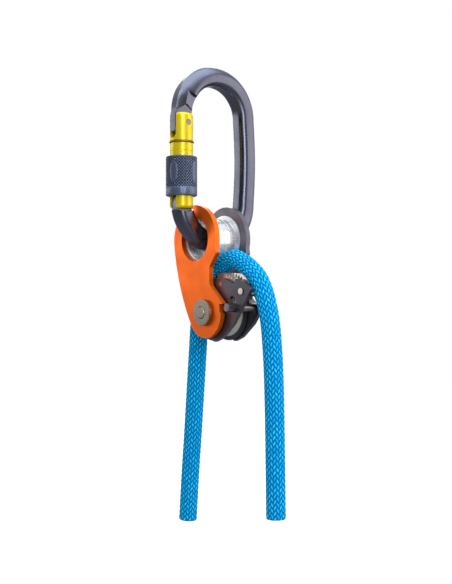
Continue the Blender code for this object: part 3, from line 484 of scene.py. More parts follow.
# %% Scratches
SCRATCH_SETS = (  # (stretch, turn) of each set of lines
    ((900, 40, 900), (0.5, 0.3, 0.9)),
    ((60, 1100, 700), (0.9, -0.4, 0.2)),
)
SCRATCH_SCALE = 160.0


def make_scratches():
    """Sparse hairline scratches in two directions, as a mask."""
    tree, start, end = new_group("scratches", {"Amount": 0.5}, ("Mask",))
    lines = []
    for stretch, turn in SCRATCH_SETS:
        streak = noise(tree, object_place(tree, stretch, turn), 1.0, 1)
        lines.append(ramp(tree, streak, 0.70, 0.74))
    patches = ramp(tree, noise(tree, object_place(tree), SCRATCH_SCALE, 2), 0.5, 0.62)
    both = math_node(tree, "MAXIMUM", lines[0], lines[1])
    shown = math_node(tree, "MULTIPLY", both, patches)
    tree.links.new(math_node(tree, "MULTIPLY", shown, start.outputs["Amount"]), end.inputs["Mask"])
    return tree


scratches = make_scratches()

# %% Worn edges with a painted highlight
WEAR_AND_HIGHLIGHT_RADIUS = 0.45 * MM
WEAR_AND_HIGHLIGHT_SCALE = 700.0


def make_edge_wear_and_highlight():
    """A mask on convex edges, broken up by noise: where a rounded normal leaves the true one."""
    tree, start, end = new_group("edge_wear_and_highlight", {"Amount": 1.0}, ("Mask",))
    # The mask marks worn edges and also paints a highlight along them.
    bevel = tree.nodes.new("ShaderNodeBevel")
    bevel.samples = 6
    bevel.inputs["Radius"].default_value = WEAR_AND_HIGHLIGHT_RADIUS
    true = tree.nodes.new("ShaderNodeNewGeometry")
    dot = tree.nodes.new("ShaderNodeVectorMath")
    dot.operation = "DOT_PRODUCT"
    tree.links.new(bevel.outputs["Normal"], dot.inputs[0])
    tree.links.new(true.outputs["Normal"], dot.inputs[1])
    edge = ramp(tree, dot.outputs["Value"], 0.99, 0.88)
    broken = ramp(tree, noise(tree, object_place(tree), WEAR_AND_HIGHLIGHT_SCALE, 4), 0.35, 0.6, 0.35, 1.0)
    worn_and_highlit = math_node(tree, "MULTIPLY", edge, broken)
    tree.links.new(math_node(tree, "MULTIPLY", worn_and_highlit, start.outputs["Amount"]), end.inputs["Mask"])
    return tree


edge_wear_and_highlight = make_edge_wear_and_highlight()

# %% Turned rings
RINGS_PER_METRE = 3500.0


def make_turned_rings():
    """Fine lathe rings about an axis along X through (Y, Z), in metres: their height, and the radius."""
    tree, start, end = new_group("turned_rings", {"Y": 0.0, "Z": 0.0}, ("Height", "Radius"))
    place = tree.nodes.new("ShaderNodeTexCoord")
    parts = tree.nodes.new("ShaderNodeSeparateXYZ")
    tree.links.new(place.outputs["Object"], parts.inputs[0])
    across = math_node(tree, "SUBTRACT", parts.outputs["Y"], start.outputs["Y"])
    up = math_node(tree, "SUBTRACT", parts.outputs["Z"], start.outputs["Z"])
    squares = math_node(tree, "MULTIPLY_ADD", across, across, math_node(tree, "MULTIPLY", up, up))
    radius = math_node(tree, "SQRT", squares)
    spot = tree.nodes.new("ShaderNodeCombineXYZ")
    tree.links.new(math_node(tree, "MULTIPLY", radius, RINGS_PER_METRE), spot.inputs["X"])
    tree.links.new(math_node(tree, "MULTIPLY", parts.outputs["X"], RINGS_PER_METRE), spot.inputs["Y"])
    tree.links.new(noise(tree, spot.outputs["Vector"], 1.0, 2), end.inputs["Height"])
    tree.links.new(radius, end.inputs["Radius"])
    return tree


turned_rings = make_turned_rings()
print("groups", [tree.name for tree in bpy.data.node_groups])

# %% [markdown]
# ## Metals
#
# The pieces are anodised aluminium, plain steel, brass and bronze. Each could have a node tree of its own,
# but they share one recipe: a colour that drifts with the grain, brighter worn edges that also carry a
# painted highlight, hairline scratches in the roughness, and a fine bump. What sets them apart is in the
# values. Most anodised colours are less metallic, so that they stay rich.

# %% Metal recipe
GRAIN_DARK = 0.9
SCRATCH_AMOUNT = 0.7
SCRATCH_ROUGH = 0.12
ROUGH_HIGH = 1.15
ROUGH_LOW = 0.88


def mix_colour(tree, factor, first, second):
    """A colour mix; first and second are colours or sockets."""
    node = tree.nodes.new("ShaderNodeMix")
    node.data_type = "RGBA"
    tree.links.new(factor, node.inputs["Factor"])
    for label, value in (("A", first), ("B", second)):
        socket = next(one for one in node.inputs if one.name == label and one.type == "RGBA")
        if isinstance(value, bpy.types.NodeSocket):
            tree.links.new(value, socket)
        else:
            socket.default_value = (*value, 1)
    return next(one for one in node.outputs if one.type == "RGBA")


def add_group(tree, group, **values):
    node = tree.nodes.new("ShaderNodeGroup")
    node.node_tree = group
    for label, value in values.items():
        node.inputs[label].default_value = value
    return node


def start_material(name, roughness, metallic):
    look = bpy.data.materials.new(name)
    look.use_nodes = True
    shader = look.node_tree.nodes["Principled BSDF"]
    shader.inputs["Roughness"].default_value = roughness
    shader.inputs["Metallic"].default_value = metallic
    return look, look.node_tree, shader


def add_bump(tree, shader, height, distance, strength=1.0):
    bump = tree.nodes.new("ShaderNodeBump")
    bump.inputs["Strength"].default_value = strength
    bump.inputs["Distance"].default_value = distance
    tree.links.new(height, bump.inputs["Height"])
    tree.links.new(bump.outputs["Normal"], shader.inputs["Normal"])


def metal(name, colour, edge, roughness, metallic, wear_and_highlight=0.6, scale=2500.0, bump=0.015, centre=None):
    """A metal finish; centre is the (y, z) of the axis for a part that shows lathe rings."""
    look, tree, shader = start_material(name, roughness, metallic)
    tone = add_group(tree, grain, Scale=scale)
    worn_and_highlit = add_group(tree, edge_wear_and_highlight, Amount=wear_and_highlight)
    lines = add_group(tree, scratches, Amount=SCRATCH_AMOUNT)
    dark = tuple(value * GRAIN_DARK for value in colour)
    base = mix_colour(tree, tone.outputs["Tone"], dark, colour)
    # Edges turn to the edge colour: partly wear, partly a painted highlight.
    tree.links.new(mix_colour(tree, worn_and_highlit.outputs["Mask"], base, edge), shader.inputs["Base Color"])
    drift = ramp(tree, tone.outputs["Tone"], 0.0, 1.0, roughness * ROUGH_HIGH, roughness * ROUGH_LOW)
    rough = math_node(tree, "MULTIPLY_ADD", lines.outputs["Mask"], SCRATCH_ROUGH, drift)
    tree.links.new(rough, shader.inputs["Roughness"])
    height = math_node(tree, "SUBTRACT", tone.outputs["Height"], lines.outputs["Mask"])
    if centre is not None:
        rings = add_group(tree, turned_rings, Y=centre[0], Z=centre[1])
        height = math_node(tree, "ADD", height, rings.outputs["Height"])
    add_bump(tree, shader, height, bump * MM)
    return look


def tint(look, mask, colour):
    """Mixes a colour into a finished metal where a mask says so."""
    tree = look.node_tree
    socket = tree.nodes["Principled BSDF"].inputs["Base Color"]
    tree.links.new(mix_colour(tree, mask, socket.links[0].from_socket, colour), socket)


# %% Connector finishes
connector_grey = metal(
    "connector_grey", srgb(99, 101, 115), srgb(134, 137, 151), 0.28, 1.0, wear_and_highlight=0.25, bump=0.0012
)
gate_yellow = metal("gate_yellow", srgb(236, 206, 16), srgb(250, 236, 130), 0.30, 0.35, wear_and_highlight=0.4, bump=0.006)
sleeve_grey = metal("sleeve_grey", srgb(98, 107, 132), srgb(126, 135, 158), 0.36, 0.6, wear_and_highlight=0.2, bump=0.005)
ring_brass = metal("ring_brass", srgb(150, 112, 58), srgb(205, 170, 110), 0.34, 0.9)

# %% Ascender finishes
at_pivot = (pivot.y, pivot.z)
at_eye = (eye.y, eye.z)
plate_orange = metal("plate_orange", srgb(255, 110, 6), srgb(255, 166, 84), 0.38, 0.72, wear_and_highlight=0.75, bump=0.006)
plate_dark = metal("plate_dark", srgb(101, 99, 108), srgb(160, 160, 172), 0.38, 0.6, bump=0.006)
drum_polished = metal(
    "drum_polished", srgb(246, 246, 247), srgb(252, 252, 252), 0.24, 0.75, bump=0.003, centre=at_eye
)
axle_steel = metal("axle_steel", srgb(158, 145, 132), srgb(232, 226, 216), 0.34, 1.0, centre=at_pivot)
cam_dark = metal("cam_dark", srgb(88, 84, 93), srgb(140, 136, 142), 0.36, 0.8, bump=0.006)
teeth_steel = metal("teeth_steel", srgb(196, 183, 174), srgb(236, 228, 220), 0.34, 0.9)
bushing_bronze = metal("bushing_bronze", srgb(178, 140, 92), srgb(215, 185, 140), 0.4, 1.0, centre=at_pivot)
rivet_steel = metal("rivet_steel", srgb(150, 122, 116), srgb(210, 190, 182), 0.38, 0.9)
bright_steel = metal("bright_steel", srgb(212, 206, 202), srgb(245, 242, 240), 0.25, 1.0)
pin_steel = metal("pin_steel", srgb(138, 126, 130), srgb(220, 210, 206), 0.32, 1.0)
spring_steel = metal("spring_steel", srgb(190, 190, 190), srgb(235, 235, 235), 0.28, 1.0)
print("materials", len(bpy.data.materials))

# %% [markdown]
# ## Sheave
#
# The wheel is pale in its groove and darker on its flanges. Two pieces could be made, but it is one turned
# part, so the radius from the lathe rings picks the colour.

# %% Sheave finish
FLANGE_FROM = 14.0 * MM
FLANGE_FULL = 14.5 * MM
sheave_pale = metal("sheave_pale", srgb(206, 204, 186), srgb(216, 214, 200), 0.45, 0.25, centre=at_pivot)
sheave_tree = sheave_pale.node_tree
sheave_rings = add_group(sheave_tree, turned_rings, Y=pivot.y, Z=pivot.z)
on_flange = ramp(sheave_tree, sheave_rings.outputs["Radius"], FLANGE_FROM, FLANGE_FULL)
tint(sheave_pale, on_flange, srgb(62, 62, 64))

# %% CAD node materials
NODE_LOOKS = {
    "gate_tube": gate_yellow,
    "gate_hinge_rivet": bright_steel,
    "gate_nose_pin": pin_steel,
    "gate_ring": ring_brass,
    "gate_plunger": bright_steel,
    "front_plate": plate_orange,
    "back_plate": plate_dark,
    "rope_drum": drum_polished,
    "main_axle": axle_steel,
    "axle_front_collar": axle_steel,
    "cam_front_washer": bright_steel,
    "sheave": sheave_pale,
    "sheave_bushing": bushing_bronze,
    "cam_front_plate": cam_dark,
    "cam_rear_plate": cam_dark,
    "cam_teeth": teeth_steel,
    "cam_inner_rivet": rivet_steel,
    "cam_outer_rivet": bright_steel,
    "cam_spring": spring_steel,
    "lock_pin": pin_steel,
    "lock_pin_spring": spring_steel,
}
for name, look in NODE_LOOKS.items():
    for place in nodes[name].material_slots:
        place.material = look
print("CAD nodes dressed", len(NODE_LOOKS))

# %% [markdown]
# ## Rope sheath
#
# The sheath is a braid: strands run round the rope both ways, each over two and under two. A bump map alone
# would look painted at the rope's outline, so the same rule shapes the mesh here and colours it. Each stitch
# that lies on top is a float. A float's crown goes into the mesh, and its own random tone and its crown go
# along as attributes.

# %% Braid rule
BRAID_LANES = 20
BRAID_CELL = 3.2 * MM
BRAID_DEPTH = 0.4 * MM
POINTS_PER_LANE = 5
FLOAT_END = 0.15  # how much of a float's crown is left at its ends
TONE_BY_STRAND = 12.9898  # large odd factors scatter the tones, the same way each run
TONE_BY_TURN = 78.233
TONE_SPREAD = 43758.5453


def braid_stitch(around, along):
    """The float on top at a place, as (crown, tone), both from 0 to 1.

    The place is in lanes round the rope and cells along it.
    """
    rising = around + along
    falling = around - along
    i = math.floor(rising)
    j = math.floor(falling)
    turn = (i + j) % 4
    if turn < 2:
        across = rising - i
        share = ((i + falling) % 4) / 2
        strand = i
    else:
        across = falling - j
        share = ((j + rising) % 4 - 2) / 2
        strand = j + 0.5
    arch = math.sin(math.pi * min(max(share, 0), 1))
    crown = math.sin(math.pi * across) * (FLOAT_END + (1 - FLOAT_END) * arch)
    tone = math.sin(strand * TONE_BY_STRAND + math.floor((i + j) / 4) * TONE_BY_TURN) * TONE_SPREAD
    return crown, tone - math.floor(tone)


# %% Rope materials
YARN_SCALE = 2600.0
CORE_SCALE = 700.0


def attribute(tree, name):
    node = tree.nodes.new("ShaderNodeAttribute")
    node.attribute_name = name
    return node.outputs["Fac"]


def make_rope_look():
    """Blue sheath: painted highlight on crowns of their own tone, painted shade in the gaps, fine yarns."""
    look, tree, shader = start_material("rope_blue", 0.9, 0.0)
    crown = attribute(tree, "crown")
    tone = attribute(tree, "tone")
    yarn = ramp(tree, noise(tree, object_place(tree), YARN_SCALE, 2), 0.35, 0.65)
    fine = mix_colour(tree, math_node(tree, "MULTIPLY", yarn, 0.3), srgb(0, 150, 214), srgb(0, 126, 190))
    # Painted highlight: the crowns turn to these bright blues.
    crown_highlight = mix_colour(tree, tone, srgb(10, 176, 232), srgb(60, 220, 255))
    highlit_crowns = mix_colour(tree, ramp(tree, crown, 0.45, 0.85), fine, crown_highlight)
    # Painted shade: the gaps between the crowns turn deep blue.
    base = mix_colour(tree, ramp(tree, crown, 0.45, 0.08), highlit_crowns, srgb(0, 82, 156))
    tree.links.new(base, shader.inputs["Base Color"])
    shader.inputs["Specular IOR Level"].default_value = 0.08
    height = math_node(tree, "MULTIPLY_ADD", yarn, 0.25, crown)
    add_bump(tree, shader, height, 0.15 * MM, 0.7)
    return look


def make_core_look():
    """The cut end: off-white core strands, a little melted, with painted shade between them."""
    look, tree, shader = start_material("rope_core", 0.6, 0.0)
    cells = tree.nodes.new("ShaderNodeTexVoronoi")
    cells.inputs["Scale"].default_value = CORE_SCALE
    tree.links.new(object_place(tree), cells.inputs["Vector"])
    deep = ramp(tree, cells.outputs["Distance"], 0.1, 0.75)
    # Painted shade: darker away from each strand's middle, in the gaps between strands.
    base = mix_colour(tree, deep, srgb(220, 222, 222), srgb(148, 166, 180))
    tree.links.new(base, shader.inputs["Base Color"])
    add_bump(tree, shader, math_node(tree, "SUBTRACT", 1.0, deep), 0.2 * MM)
    return look


rope_blue = make_rope_look()
rope_core = make_core_look()
print("rope materials", rope_blue.name, rope_core.name)

# %% [markdown]
# ## Rope
#
# One rope over the drum, in the three stretches of the CAD: a held one and two free strands. A curve with a
# round bevel would be quick, but it can't carry the braid's relief, so each strand is a tube of rings along
# the CAD's own route. Each free strand ends bare, cut flat, with the core showing.

# %% Rope route
ROPE_RADIUS = 5.6 * MM
ROPE_STEP = 0.5 * MM
ROPE_STRETCHES = {
    "rope_left_strand": [
        (-32.8, -128.4), (-30.3, -100), (-27.7, -75), (-25.3, -50), (-23.0, -26), (-21.2, -8),
    ],
    "rope_held": [
        (-18.7, 6), (-13.8, 15.8), (-6.8, 22.2), (0.2, 26.9), (6.5, 30.2), (13.0, 31.2), (21.0, 28.4),
        (28.5, 23.8), (34.0, 18.6), (37.8, 12.4), (40.6, 5), (42.8, -3), (44.4, -13),
    ],
    "rope_right_strand": [(45.9, -30), (46.8, -50), (47.5, -80), (48.1, -113.4)],
}
rope_points = [pivot_point(u, w) for points in ROPE_STRETCHES.values() for u, w in points]


def smooth_line(points, start, end, step):
    """Points about step apart on the smooth curve through points, from point start to point end."""
    line = []
    for i in range(start, end):
        a = points[max(i - 1, 0)]
        b = points[i]
        c = points[i + 1]
        d = points[min(i + 2, len(points) - 1)]
        count = max(1, round((c - b).length / step))
        for k in range(count):
            t = k / count
            line.append(0.5 * (
                2 * b + (c - a) * t + (2 * a - 5 * b + 4 * c - d) * t**2 + (3 * b - a - 3 * c + d) * t**3
            ))
    line.append(points[end])
    return line


def line_length(line):
    return sum((b - a).length for a, b in zip(line, line[1:]))


# %% Rope strands
ROPE_SIDES = BRAID_LANES * POINTS_PER_LANE
CUT_RIM = [(0.95, 0.3), (0.80, 0.4), (0.76, 0.1), (0.4, 0.3)]  # (share of the radius, mm past the end)


def rope_ring(bm, at, along, radii):
    side = Vector((1, 0, 0))
    up = along.cross(side).normalized()
    ring = []
    for i, radius in enumerate(radii):
        turn = 2 * math.pi * i / ROPE_SIDES
        ring.append(bm.verts.new(at + radius * (math.cos(turn) * side + math.sin(turn) * up)))
    return ring


def cap_rope(bm, ring, at, along, bare):
    """Closes a strand: plainly where it runs on, or as a cut end with a melted rim and the core inside."""
    if not bare:
        bm.faces.new(ring)
        return
    rings = [ring]
    for share, out in CUT_RIM:
        rings.append(rope_ring(bm, at + along * out * MM, along, [ROPE_RADIUS * share] * ROPE_SIDES))
    for row in join_rings(bm, rings)[2:]:
        for face in row:
            face.material_index = 1
    bm.faces.new(rings[-1]).material_index = 1


def make_strand(name, line, begun, bare_start, bare_end):
    """A sheathed stretch of rope; begun is the rope's length before it, so that the braid runs on."""
    bm = bmesh.new()
    crown_layer = bm.verts.layers.float.new("crown")
    tone_layer = bm.verts.layers.float.new("tone")
    rings = []
    gone = begun
    last = len(line) - 1
    for i, at in enumerate(line):
        along = (line[min(i + 1, last)] - line[max(i - 1, 0)]).normalized()
        if i > 0:
            gone += (at - line[i - 1]).length
        stitches = [braid_stitch((k + 0.5) / POINTS_PER_LANE, gone / BRAID_CELL) for k in range(ROPE_SIDES)]
        radii = [ROPE_RADIUS - BRAID_DEPTH * (1 - crown) for crown, _ in stitches]
        ring = rope_ring(bm, at, along, radii)
        for vert, (crown, tone) in zip(ring, stitches):
            vert[crown_layer] = crown
            vert[tone_layer] = tone
        rings.append(ring)
    join_rings(bm, rings)
    cap_rope(bm, rings[0], line[0], (line[0] - line[1]).normalized(), bare_start)
    cap_rope(bm, rings[-1], line[-1], (line[-1] - line[-2]).normalized(), bare_end)
    made = add_piece(name, bm, "ascender")
    made.data.materials.append(rope_blue)
    made.data.materials.append(rope_core)
    return made


rope_length = 0.0
start = 0
end = -1
for name, points in ROPE_STRETCHES.items():
    end += len(points)
    line = smooth_line(rope_points, start, end, ROPE_STEP)
    bare_start = start == 0
    bare_end = end == len(rope_points) - 1
    strand = make_strand(f"{name}_braided", line, rope_length, bare_start, bare_end)
    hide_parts(name)
    rope_length += line_length(line)
    start = end
print("rope length", round(rope_length, 4))

# %% [markdown]
# ## Connector body
#
# The body is one forged rod with well rounded corners, bent from the nose over the top bend, down the bowed
# spine and round to the gate's hinge. Sweeping a section along that line keeps its thickness under control.
# Towards the nose the outer corner grows into a wide slope and the rod thins, and then the finger that enters
# the gate follows.

# %% Connector sizes
body_low, body_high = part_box("connector_body")
ROD = body_high.z
ROD_HALF = ROD / 2
BEND = -gate_hinge.x
TOP_BEND_Z = ROD_HALF - BEND
BOTTOM_BEND_Z = body_low.z + BEND + ROD_HALF
SPINE_BOW = 1.2 * MM
BODY_END = math.radians(4)
BLADE_HALF = 2.6 * MM
BLADE_CORNER = 0.5 * MM
ROD_CORNER = 3.9 * MM
NOSE_CORNER = 2.6 * MM
NOSE_SLOPE = 8.0 * MM
NOSE_DEEP = 1.9 * MM
NOSE_FLAT = 0.6
CREST_DEEP = 4.5 * MM
NOSE_HALF = 4.4 * MM
NOSE_FROM = math.radians(12)
NOSE_TO = math.radians(34)
SLOPE_TO = math.radians(150)
CREST_TO = math.radians(46)
gate_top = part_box("gate_tube")[1].z
pin_low, pin_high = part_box("gate_nose_pin")
PIN_GAP = 0.4 * MM
FINGER_REACH = 6.3 * MM
FINGER_LENGTH = 11.6 * MM
CORNER_STEPS = 8
TOP_BEND_STEPS = 72
SPINE_STEPS = 20
BOTTOM_BEND_STEPS = 60


def ease(value, low, high):
    share = min(max((value - low) / (high - low), 0), 1)
    return share * share * (3 - 2 * share)


def rod_section(inner, outer, half, inner_corner, outer_corner, flat=0.0):
    """A rounded section as (inward, y) points.

    A corner is its (reach along the section, reach across it). The outer corners go from round to a flat
    slope as flat goes from 0 to 1.
    """
    points = []
    for sn, sy in ((1, 1), (-1, 1), (-1, -1), (1, -1)):
        reach = inner if sn > 0 else outer
        wide, deep = inner_corner if sn > 0 else outer_corner
        for i in range(CORNER_STEPS + 1):
            share = i / CORNER_STEPS if sn == sy else 1 - i / CORNER_STEPS
            turn = math.pi / 2 * share
            straight = flat if sn < 0 else 0.0
            n = sn * (reach - wide + wide * (math.cos(turn) + (1 - share - math.cos(turn)) * straight))
            y = sy * (half - deep + deep * (math.sin(turn) + (share - math.sin(turn)) * straight))
            points.append((n, y))
    return points


def full_section(turn):
    """The rod's section at an angle round the top bend, counted from the nose."""
    grown = ease(turn, NOSE_FROM, NOSE_TO)
    spread = ease(turn, NOSE_FROM, SLOPE_TO)
    half = NOSE_HALF + (ROD_HALF - NOSE_HALF) * grown
    inner = NOSE_CORNER + (ROD_CORNER - NOSE_CORNER) * spread
    wide = NOSE_SLOPE + (ROD_CORNER - NOSE_SLOPE) * spread
    crest = NOSE_DEEP + (CREST_DEEP - NOSE_DEEP) * ease(turn, NOSE_FROM, CREST_TO)
    deep = crest + (ROD_CORNER - crest) * spread
    flat = NOSE_FLAT * (1 - spread)
    return rod_section(ROD_HALF, ROD_HALF, half, (inner, inner), (wide, deep), flat)


def finger_rows():
    """(z, outer, inner) of the finger in the gate, about the gate's axis: a toe hooked under the pin."""
    reach = FINGER_REACH
    notch = -(pin_high.z - pin_low.z) / 2 - PIN_GAP
    toe = -PIN_GAP
    tip = gate_top - FINGER_LENGTH
    toe_top = pin_low.z - PIN_GAP
    notch_top = pin_high.z + PIN_GAP
    return [
        (tip, reach - 0.8 * MM, toe - 0.8 * MM),
        (tip + 0.3 * MM, reach - 0.2 * MM, toe - 0.2 * MM),
        (tip + 0.8 * MM, reach, toe),
        (toe_top - 0.05 * MM, reach, toe),
        (toe_top, reach, notch),
        (notch_top, reach, notch),
        (notch_top + 1.45 * MM, reach, toe),
        (gate_top + 0.3 * MM, reach, toe),
    ]


def body_rings():
    """Rings of points along the whole rod."""
    stations = []
    corner = (BLADE_CORNER, BLADE_CORNER)
    for z, outer, inner in finger_rows():
        stations.append(((-BEND, z), (1, 0), rod_section(inner, outer, BLADE_HALF, corner, corner)))
    stations.append(((-BEND, gate_top + 0.35 * MM), (1, 0), full_section(0)))
    for i in range(1, TOP_BEND_STEPS + 1):
        turn = math.pi * i / TOP_BEND_STEPS
        out = (-math.cos(turn), math.sin(turn))
        middle = (BEND * out[0], TOP_BEND_Z + BEND * out[1])
        stations.append((middle, (-out[0], -out[1]), full_section(turn)))
    for i in range(1, SPINE_STEPS):
        z = TOP_BEND_Z + (BOTTOM_BEND_Z - TOP_BEND_Z) * i / SPINE_STEPS
        middle = (BEND + SPINE_BOW * math.sin(math.pi * i / SPINE_STEPS), z)
        stations.append((middle, (-1, 0), full_section(math.pi)))
    for i in range(BOTTOM_BEND_STEPS + 1):
        turn = (math.pi - BODY_END) * i / BOTTOM_BEND_STEPS
        out = (math.cos(turn), -math.sin(turn))
        middle = (BEND * out[0], BOTTOM_BEND_Z + BEND * out[1])
        stations.append((middle, (-out[0], -out[1]), full_section(math.pi)))
    return [
        [(middle[0] + n * inward[0], y, middle[1] + n * inward[1]) for n, y in section]
        for middle, inward, section in stations
    ]


# %% [markdown]
# ## Nose and hinge
#
# A mill has cut the nose: a house-shaped step down to the blade that fills the gate's slot, and a slanted
# pocket on the inner half. At the hinge the rod ends in a round seat for the gate, and a flat tongue goes on
# into the gate. These could be sculpted into the sweep, but Booleans cut them as a mill does, and one joins
# the tongue on.

# %% Nose cutters
HOUSE = [(-27.6, -16.4), (-22.4, -13.4), (-17.2, -17.4)]  # the step's edge on the blade, (x, z) in mm
HOUSE_RISE = [0.5, 1.0, 1.4]  # how far its slanted wall rises at the rod's side, in mm
HOUSE_SIDES = (-40, -10)  # x of the block's ends in mm, clear of the rod
HOUSE_FLOOR = -19.5  # z of the block's underside in mm
POCKET = [  # (x, z, distance from the middle plane) in mm
    (-22.2, -5.4, 4.7), (-13.2, -9.6, 2.4), (-16.2, -18.2, 2.9), (-23.4, -13.0, 3.7),
]
OUTSIDE = 9.0  # mm from the middle plane, clear of the rod
CUTTER_GAP = 0.02  # mm between a cutter and the blade's flat


def house_cutter(side):
    """The block beside the blade on one side; its upper edge is the house shape."""
    left, right_end = HOUSE_SIDES
    inner = [(x, BLADE_HALF / MM + CUTTER_GAP, z) for x, z in HOUSE]
    slope = (OUTSIDE - BLADE_HALF / MM) / (ROD_HALF - BLADE_HALF) * MM
    outer = [(x, OUTSIDE, z + rise * slope) for (x, z), rise in zip(HOUSE, HOUSE_RISE)]
    rings = []
    for edge in (inner, outer):
        depth = edge[0][1]
        points = [
            (left, depth, HOUSE_FLOOR), (left, depth, edge[0][2]), *edge,
            (right_end, depth, edge[-1][2]), (right_end, depth, HOUSE_FLOOR),
        ]
        rings.append([(x * MM, side * y * MM, z * MM) for x, y, z in points])
    return solid_from_rings(rings)


def pocket_cutter(side):
    floor = [(x * MM, side * depth * MM, z * MM) for x, z, depth in POCKET]
    top = [(x * MM, side * OUTSIDE * MM, z * MM) for x, z, _ in POCKET]
    return solid_from_rings([floor, top])


# %% Hinge cutters
SEAT_RADIUS = 11.19 * MM
TONGUE_IN = 4.4 * MM
TONGUE_OUT = 5.4 * MM
TONGUE_TOP = 3.6 * MM
TONGUE_RISE = 2.5 * MM
TONGUE_HOLE = 1.9 * MM
TONGUE_STEPS = 18
SPIRAL_TO = math.radians(30)
ROOT_IN = (20, 31)  # degrees round the bottom bend, down the root's inner side
ROOT_OUT = (31, 20, 12, 4)  # and back up its outer side


def cylinder_across(radius, half, sides=72):
    """A cylinder about the gate's hinge, along Y."""
    turns = [2 * math.pi * i / sides for i in range(sides)]
    return solid_from_rings([
        [(gate_hinge.x + radius * math.cos(t), y, gate_hinge.z + radius * math.sin(t)) for t in turns]
        for y in (-half, half)
    ])


def tongue_block():
    """The hinge blade in the gate's lower slot, with the plunger's spiral face on top."""
    outline = []
    for i in range(TONGUE_STEPS + 1):
        turn = math.radians(-90 + 180 * i / TONGUE_STEPS)
        radius = TONGUE_TOP + TONGUE_RISE * min(max(turn, 0), SPIRAL_TO)
        outline.append((gate_hinge.x + radius * math.sin(turn), gate_hinge.z + radius * math.cos(turn)))
    root = [(degrees, BEND - TONGUE_IN) for degrees in ROOT_IN]
    root += [(degrees, BEND + TONGUE_OUT) for degrees in ROOT_OUT]
    for degrees, radius in root:
        turn = math.radians(degrees)
        outline.append((-radius * math.cos(turn), BOTTOM_BEND_Z - radius * math.sin(turn)))
    return solid_from_rings([[(x, y, z) for x, z in outline] for y in (-BLADE_HALF, BLADE_HALF)])


# %% Connector piece
CONNECTOR_SHARP = math.radians(24)


def cut_all(target, steps):
    """Applies Boolean steps, each an (operation, bmesh), and removes their helpers."""
    helpers = []
    for operation, bm in steps:
        mesh = bpy.data.meshes.new("helper")
        bm.to_mesh(mesh)
        bm.free()
        helper = bpy.data.objects.new("helper", mesh)
        scene.collection.objects.link(helper)
        helpers.append(helper)
        change = target.modifiers.new("step", "BOOLEAN")
        change.operation = operation
        change.solver = "EXACT"
        change.object = helper
    graph = bpy.context.evaluated_depsgraph_get()
    made = bpy.data.meshes.new_from_object(target.evaluated_get(graph), depsgraph=graph)
    target.modifiers.clear()
    target.data = made
    for helper in helpers:
        bpy.data.objects.remove(helper, do_unlink=True)


connector_piece = add_piece("connector_forged", solid_from_rings(body_rings()), "connector")
cut_all(connector_piece, [
    ("DIFFERENCE", pocket_cutter(-1)), ("DIFFERENCE", pocket_cutter(1)),
    ("DIFFERENCE", house_cutter(-1)), ("DIFFERENCE", house_cutter(1)),
    ("DIFFERENCE", cylinder_across(SEAT_RADIUS, ROD)), ("UNION", tongue_block()),
    ("DIFFERENCE", cylinder_across(TONGUE_HOLE, ROD)),
])
connector_piece.data.shade_smooth()
connector_piece.data.set_sharp_from_angle(angle=CONNECTOR_SHARP)
connector_piece.data.materials.clear()
connector_piece.data.materials.append(connector_grey)
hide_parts("connector_body")
print("connector", len(connector_piece.data.polygons), "faces")

# %% [markdown]
# ## Lock sleeve
#
# The sleeve is turned, then knurled for grip, with four smooth ovals and a plain band at the bottom. A bump
# could fake the knurl, but it shows at the outline, so two sets of slanting grooves are cut into the mesh.
# The depth of the grooves is kept as an attribute, and the material uses it to paint shade into the grooves,
# because the dark in them is what the eye sees from afar.

# %% Lock sleeve
sleeve_low, sleeve_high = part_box("lock_sleeve")
SLEEVE_RADIUS = (sleeve_high.y - sleeve_low.y) / 2
SLEEVE_WALL = 1.55 * MM
SLEEVE_BORE = SLEEVE_RADIUS - SLEEVE_WALL
SLEEVE_SHARP = math.radians(50)
KNURLS = 33
KNURL_HEIGHT = 1.75 * MM
KNURL_DEPTH = 0.5 * MM
KNURL_LOW = sleeve_low.z + 5.1 * MM
KNURL_HIGH = sleeve_high.z - 0.7 * MM
KNURL_ROWS = 64
POINTS_PER_KNURL = 5
PATCHES = 4
PATCH_MIDDLE = math.radians(202)
PATCH_HALF_WIDTH = 2.5 * MM
PATCH_HALF_HEIGHT = 6.2 * MM
PATCH_END = 1.15  # a patch fades out here, as a share of its half size
PATCH_FADE = 0.3
GROOVE_SHARE = 0.36


def knurl(turn, z):
    """1 on a diamond's top or a smooth patch, 0 in the grooves."""
    around = KNURLS * turn / (2 * math.pi)
    along = z / KNURL_HEIGHT
    depth = 1.0
    for lane in (around + along, around - along):
        share = lane % 1.0
        depth = min(depth, min(share, 1 - share) / GROOVE_SHARE)
    span = 2 * math.pi / PATCHES
    off = (turn - PATCH_MIDDLE + span / 2) % span - span / 2
    rise = (z - (KNURL_LOW + KNURL_HIGH) / 2) / PATCH_HALF_HEIGHT
    inside = math.hypot(off * SLEEVE_RADIUS / PATCH_HALF_WIDTH, rise)
    return max(depth, min(max((PATCH_END - inside) / PATCH_FADE, 0), 1))


def sleeve_rows():
    """(z, radius, whether knurled) up the outside, and then the bore."""
    low = sleeve_low.z
    high = sleeve_high.z
    rows = [
        (low, SLEEVE_RADIUS - 0.7 * MM, 0), (low + 0.25 * MM, SLEEVE_RADIUS - 0.2 * MM, 0),
        (low + 0.7 * MM, SLEEVE_RADIUS, 0), (KNURL_LOW - 0.3 * MM, SLEEVE_RADIUS, 0),
    ]
    for i in range(KNURL_ROWS + 1):
        rows.append((KNURL_LOW + (KNURL_HIGH - KNURL_LOW) * i / KNURL_ROWS, SLEEVE_RADIUS, 1))
    rows += [(high - 0.2 * MM, SLEEVE_RADIUS - 0.35 * MM, 0.4), (high, SLEEVE_RADIUS - 0.8 * MM, 0)]
    return rows + [(high, SLEEVE_BORE, 0), (low, SLEEVE_BORE, 0)]


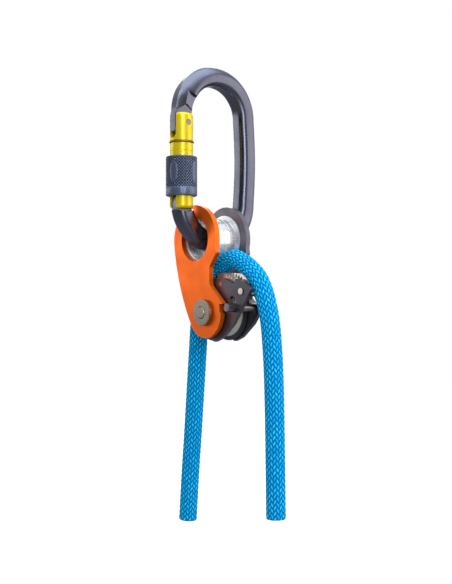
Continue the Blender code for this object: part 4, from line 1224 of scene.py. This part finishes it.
def make_sleeve():
    bm = bmesh.new()
    groove = bm.verts.layers.float.new("groove")
    sides = KNURLS * POINTS_PER_KNURL
    rings = []
    for z, radius, cut in sleeve_rows():
        ring = []
        for i in range(sides):
            turn = 2 * math.pi * i / sides
            deep = cut * (1 - knurl(turn, z))
            r = radius - KNURL_DEPTH * deep
            vert = bm.verts.new((gate_hinge.x + r * math.cos(turn), r * math.sin(turn), z))
            vert[groove] = deep
            ring.append(vert)
        rings.append(ring)
    join_rings(bm, rings, closed=True)
    made = add_piece("lock_sleeve_knurled", bm, "sleeve")
    made.data.set_sharp_from_angle(angle=SLEEVE_SHARP)
    made.data.materials.append(sleeve_grey)
    return made


sleeve_tree = sleeve_grey.node_tree
# Painted shade: the knurl's grooves are darkened by their depth.
groove_shade = ramp(sleeve_tree, attribute(sleeve_tree, "groove"), 0.25, 0.85)
tint(sleeve_grey, groove_shade, srgb(22, 28, 46))
sleeve_piece = make_sleeve()
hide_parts("lock_sleeve")
print("sleeve", len(sleeve_piece.data.polygons), "faces")

# %% [markdown]
# ## Gate spring
#
# A small coil of wire in the gate's bore pushes the plunger down and so closes the gate. As a rigid shape it
# would be cut by the plunger when the gate opens. It is wound again here as a tube along a helix of even
# pitch, riding on the gate.

# %% Gate spring
spring_low, spring_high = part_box("gate_spring")
SPRING_WIRE = 0.3 * MM
SPRING_TURNS = 7
STEPS_PER_TURN = 28
WIRE_SIDES = 10


def make_spring():
    coil = (spring_high.x - spring_low.x) / 2 - SPRING_WIRE
    start_z = spring_low.z + SPRING_WIRE
    rise = spring_high.z - spring_low.z - 2 * SPRING_WIRE
    steps = SPRING_TURNS * STEPS_PER_TURN
    rings = []
    for i in range(steps + 1):
        turn = 2 * math.pi * i / STEPS_PER_TURN
        out = Vector((math.cos(turn), math.sin(turn), 0))
        middle = Vector((gate_hinge.x, 0, start_z + rise * i / steps)) + out * coil
        ring = []
        for k in range(WIRE_SIDES):
            side = 2 * math.pi * k / WIRE_SIDES
            ring.append(middle + SPRING_WIRE * (math.cos(side) * out + Vector((0, 0, math.sin(side)))))
        rings.append(ring)
    made = add_piece("gate_spring_wound", solid_from_rings(rings), "gate")
    made.data.materials.append(spring_steel)
    return made


spring_piece = make_spring()
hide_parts("gate_spring")
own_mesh(spring_piece)
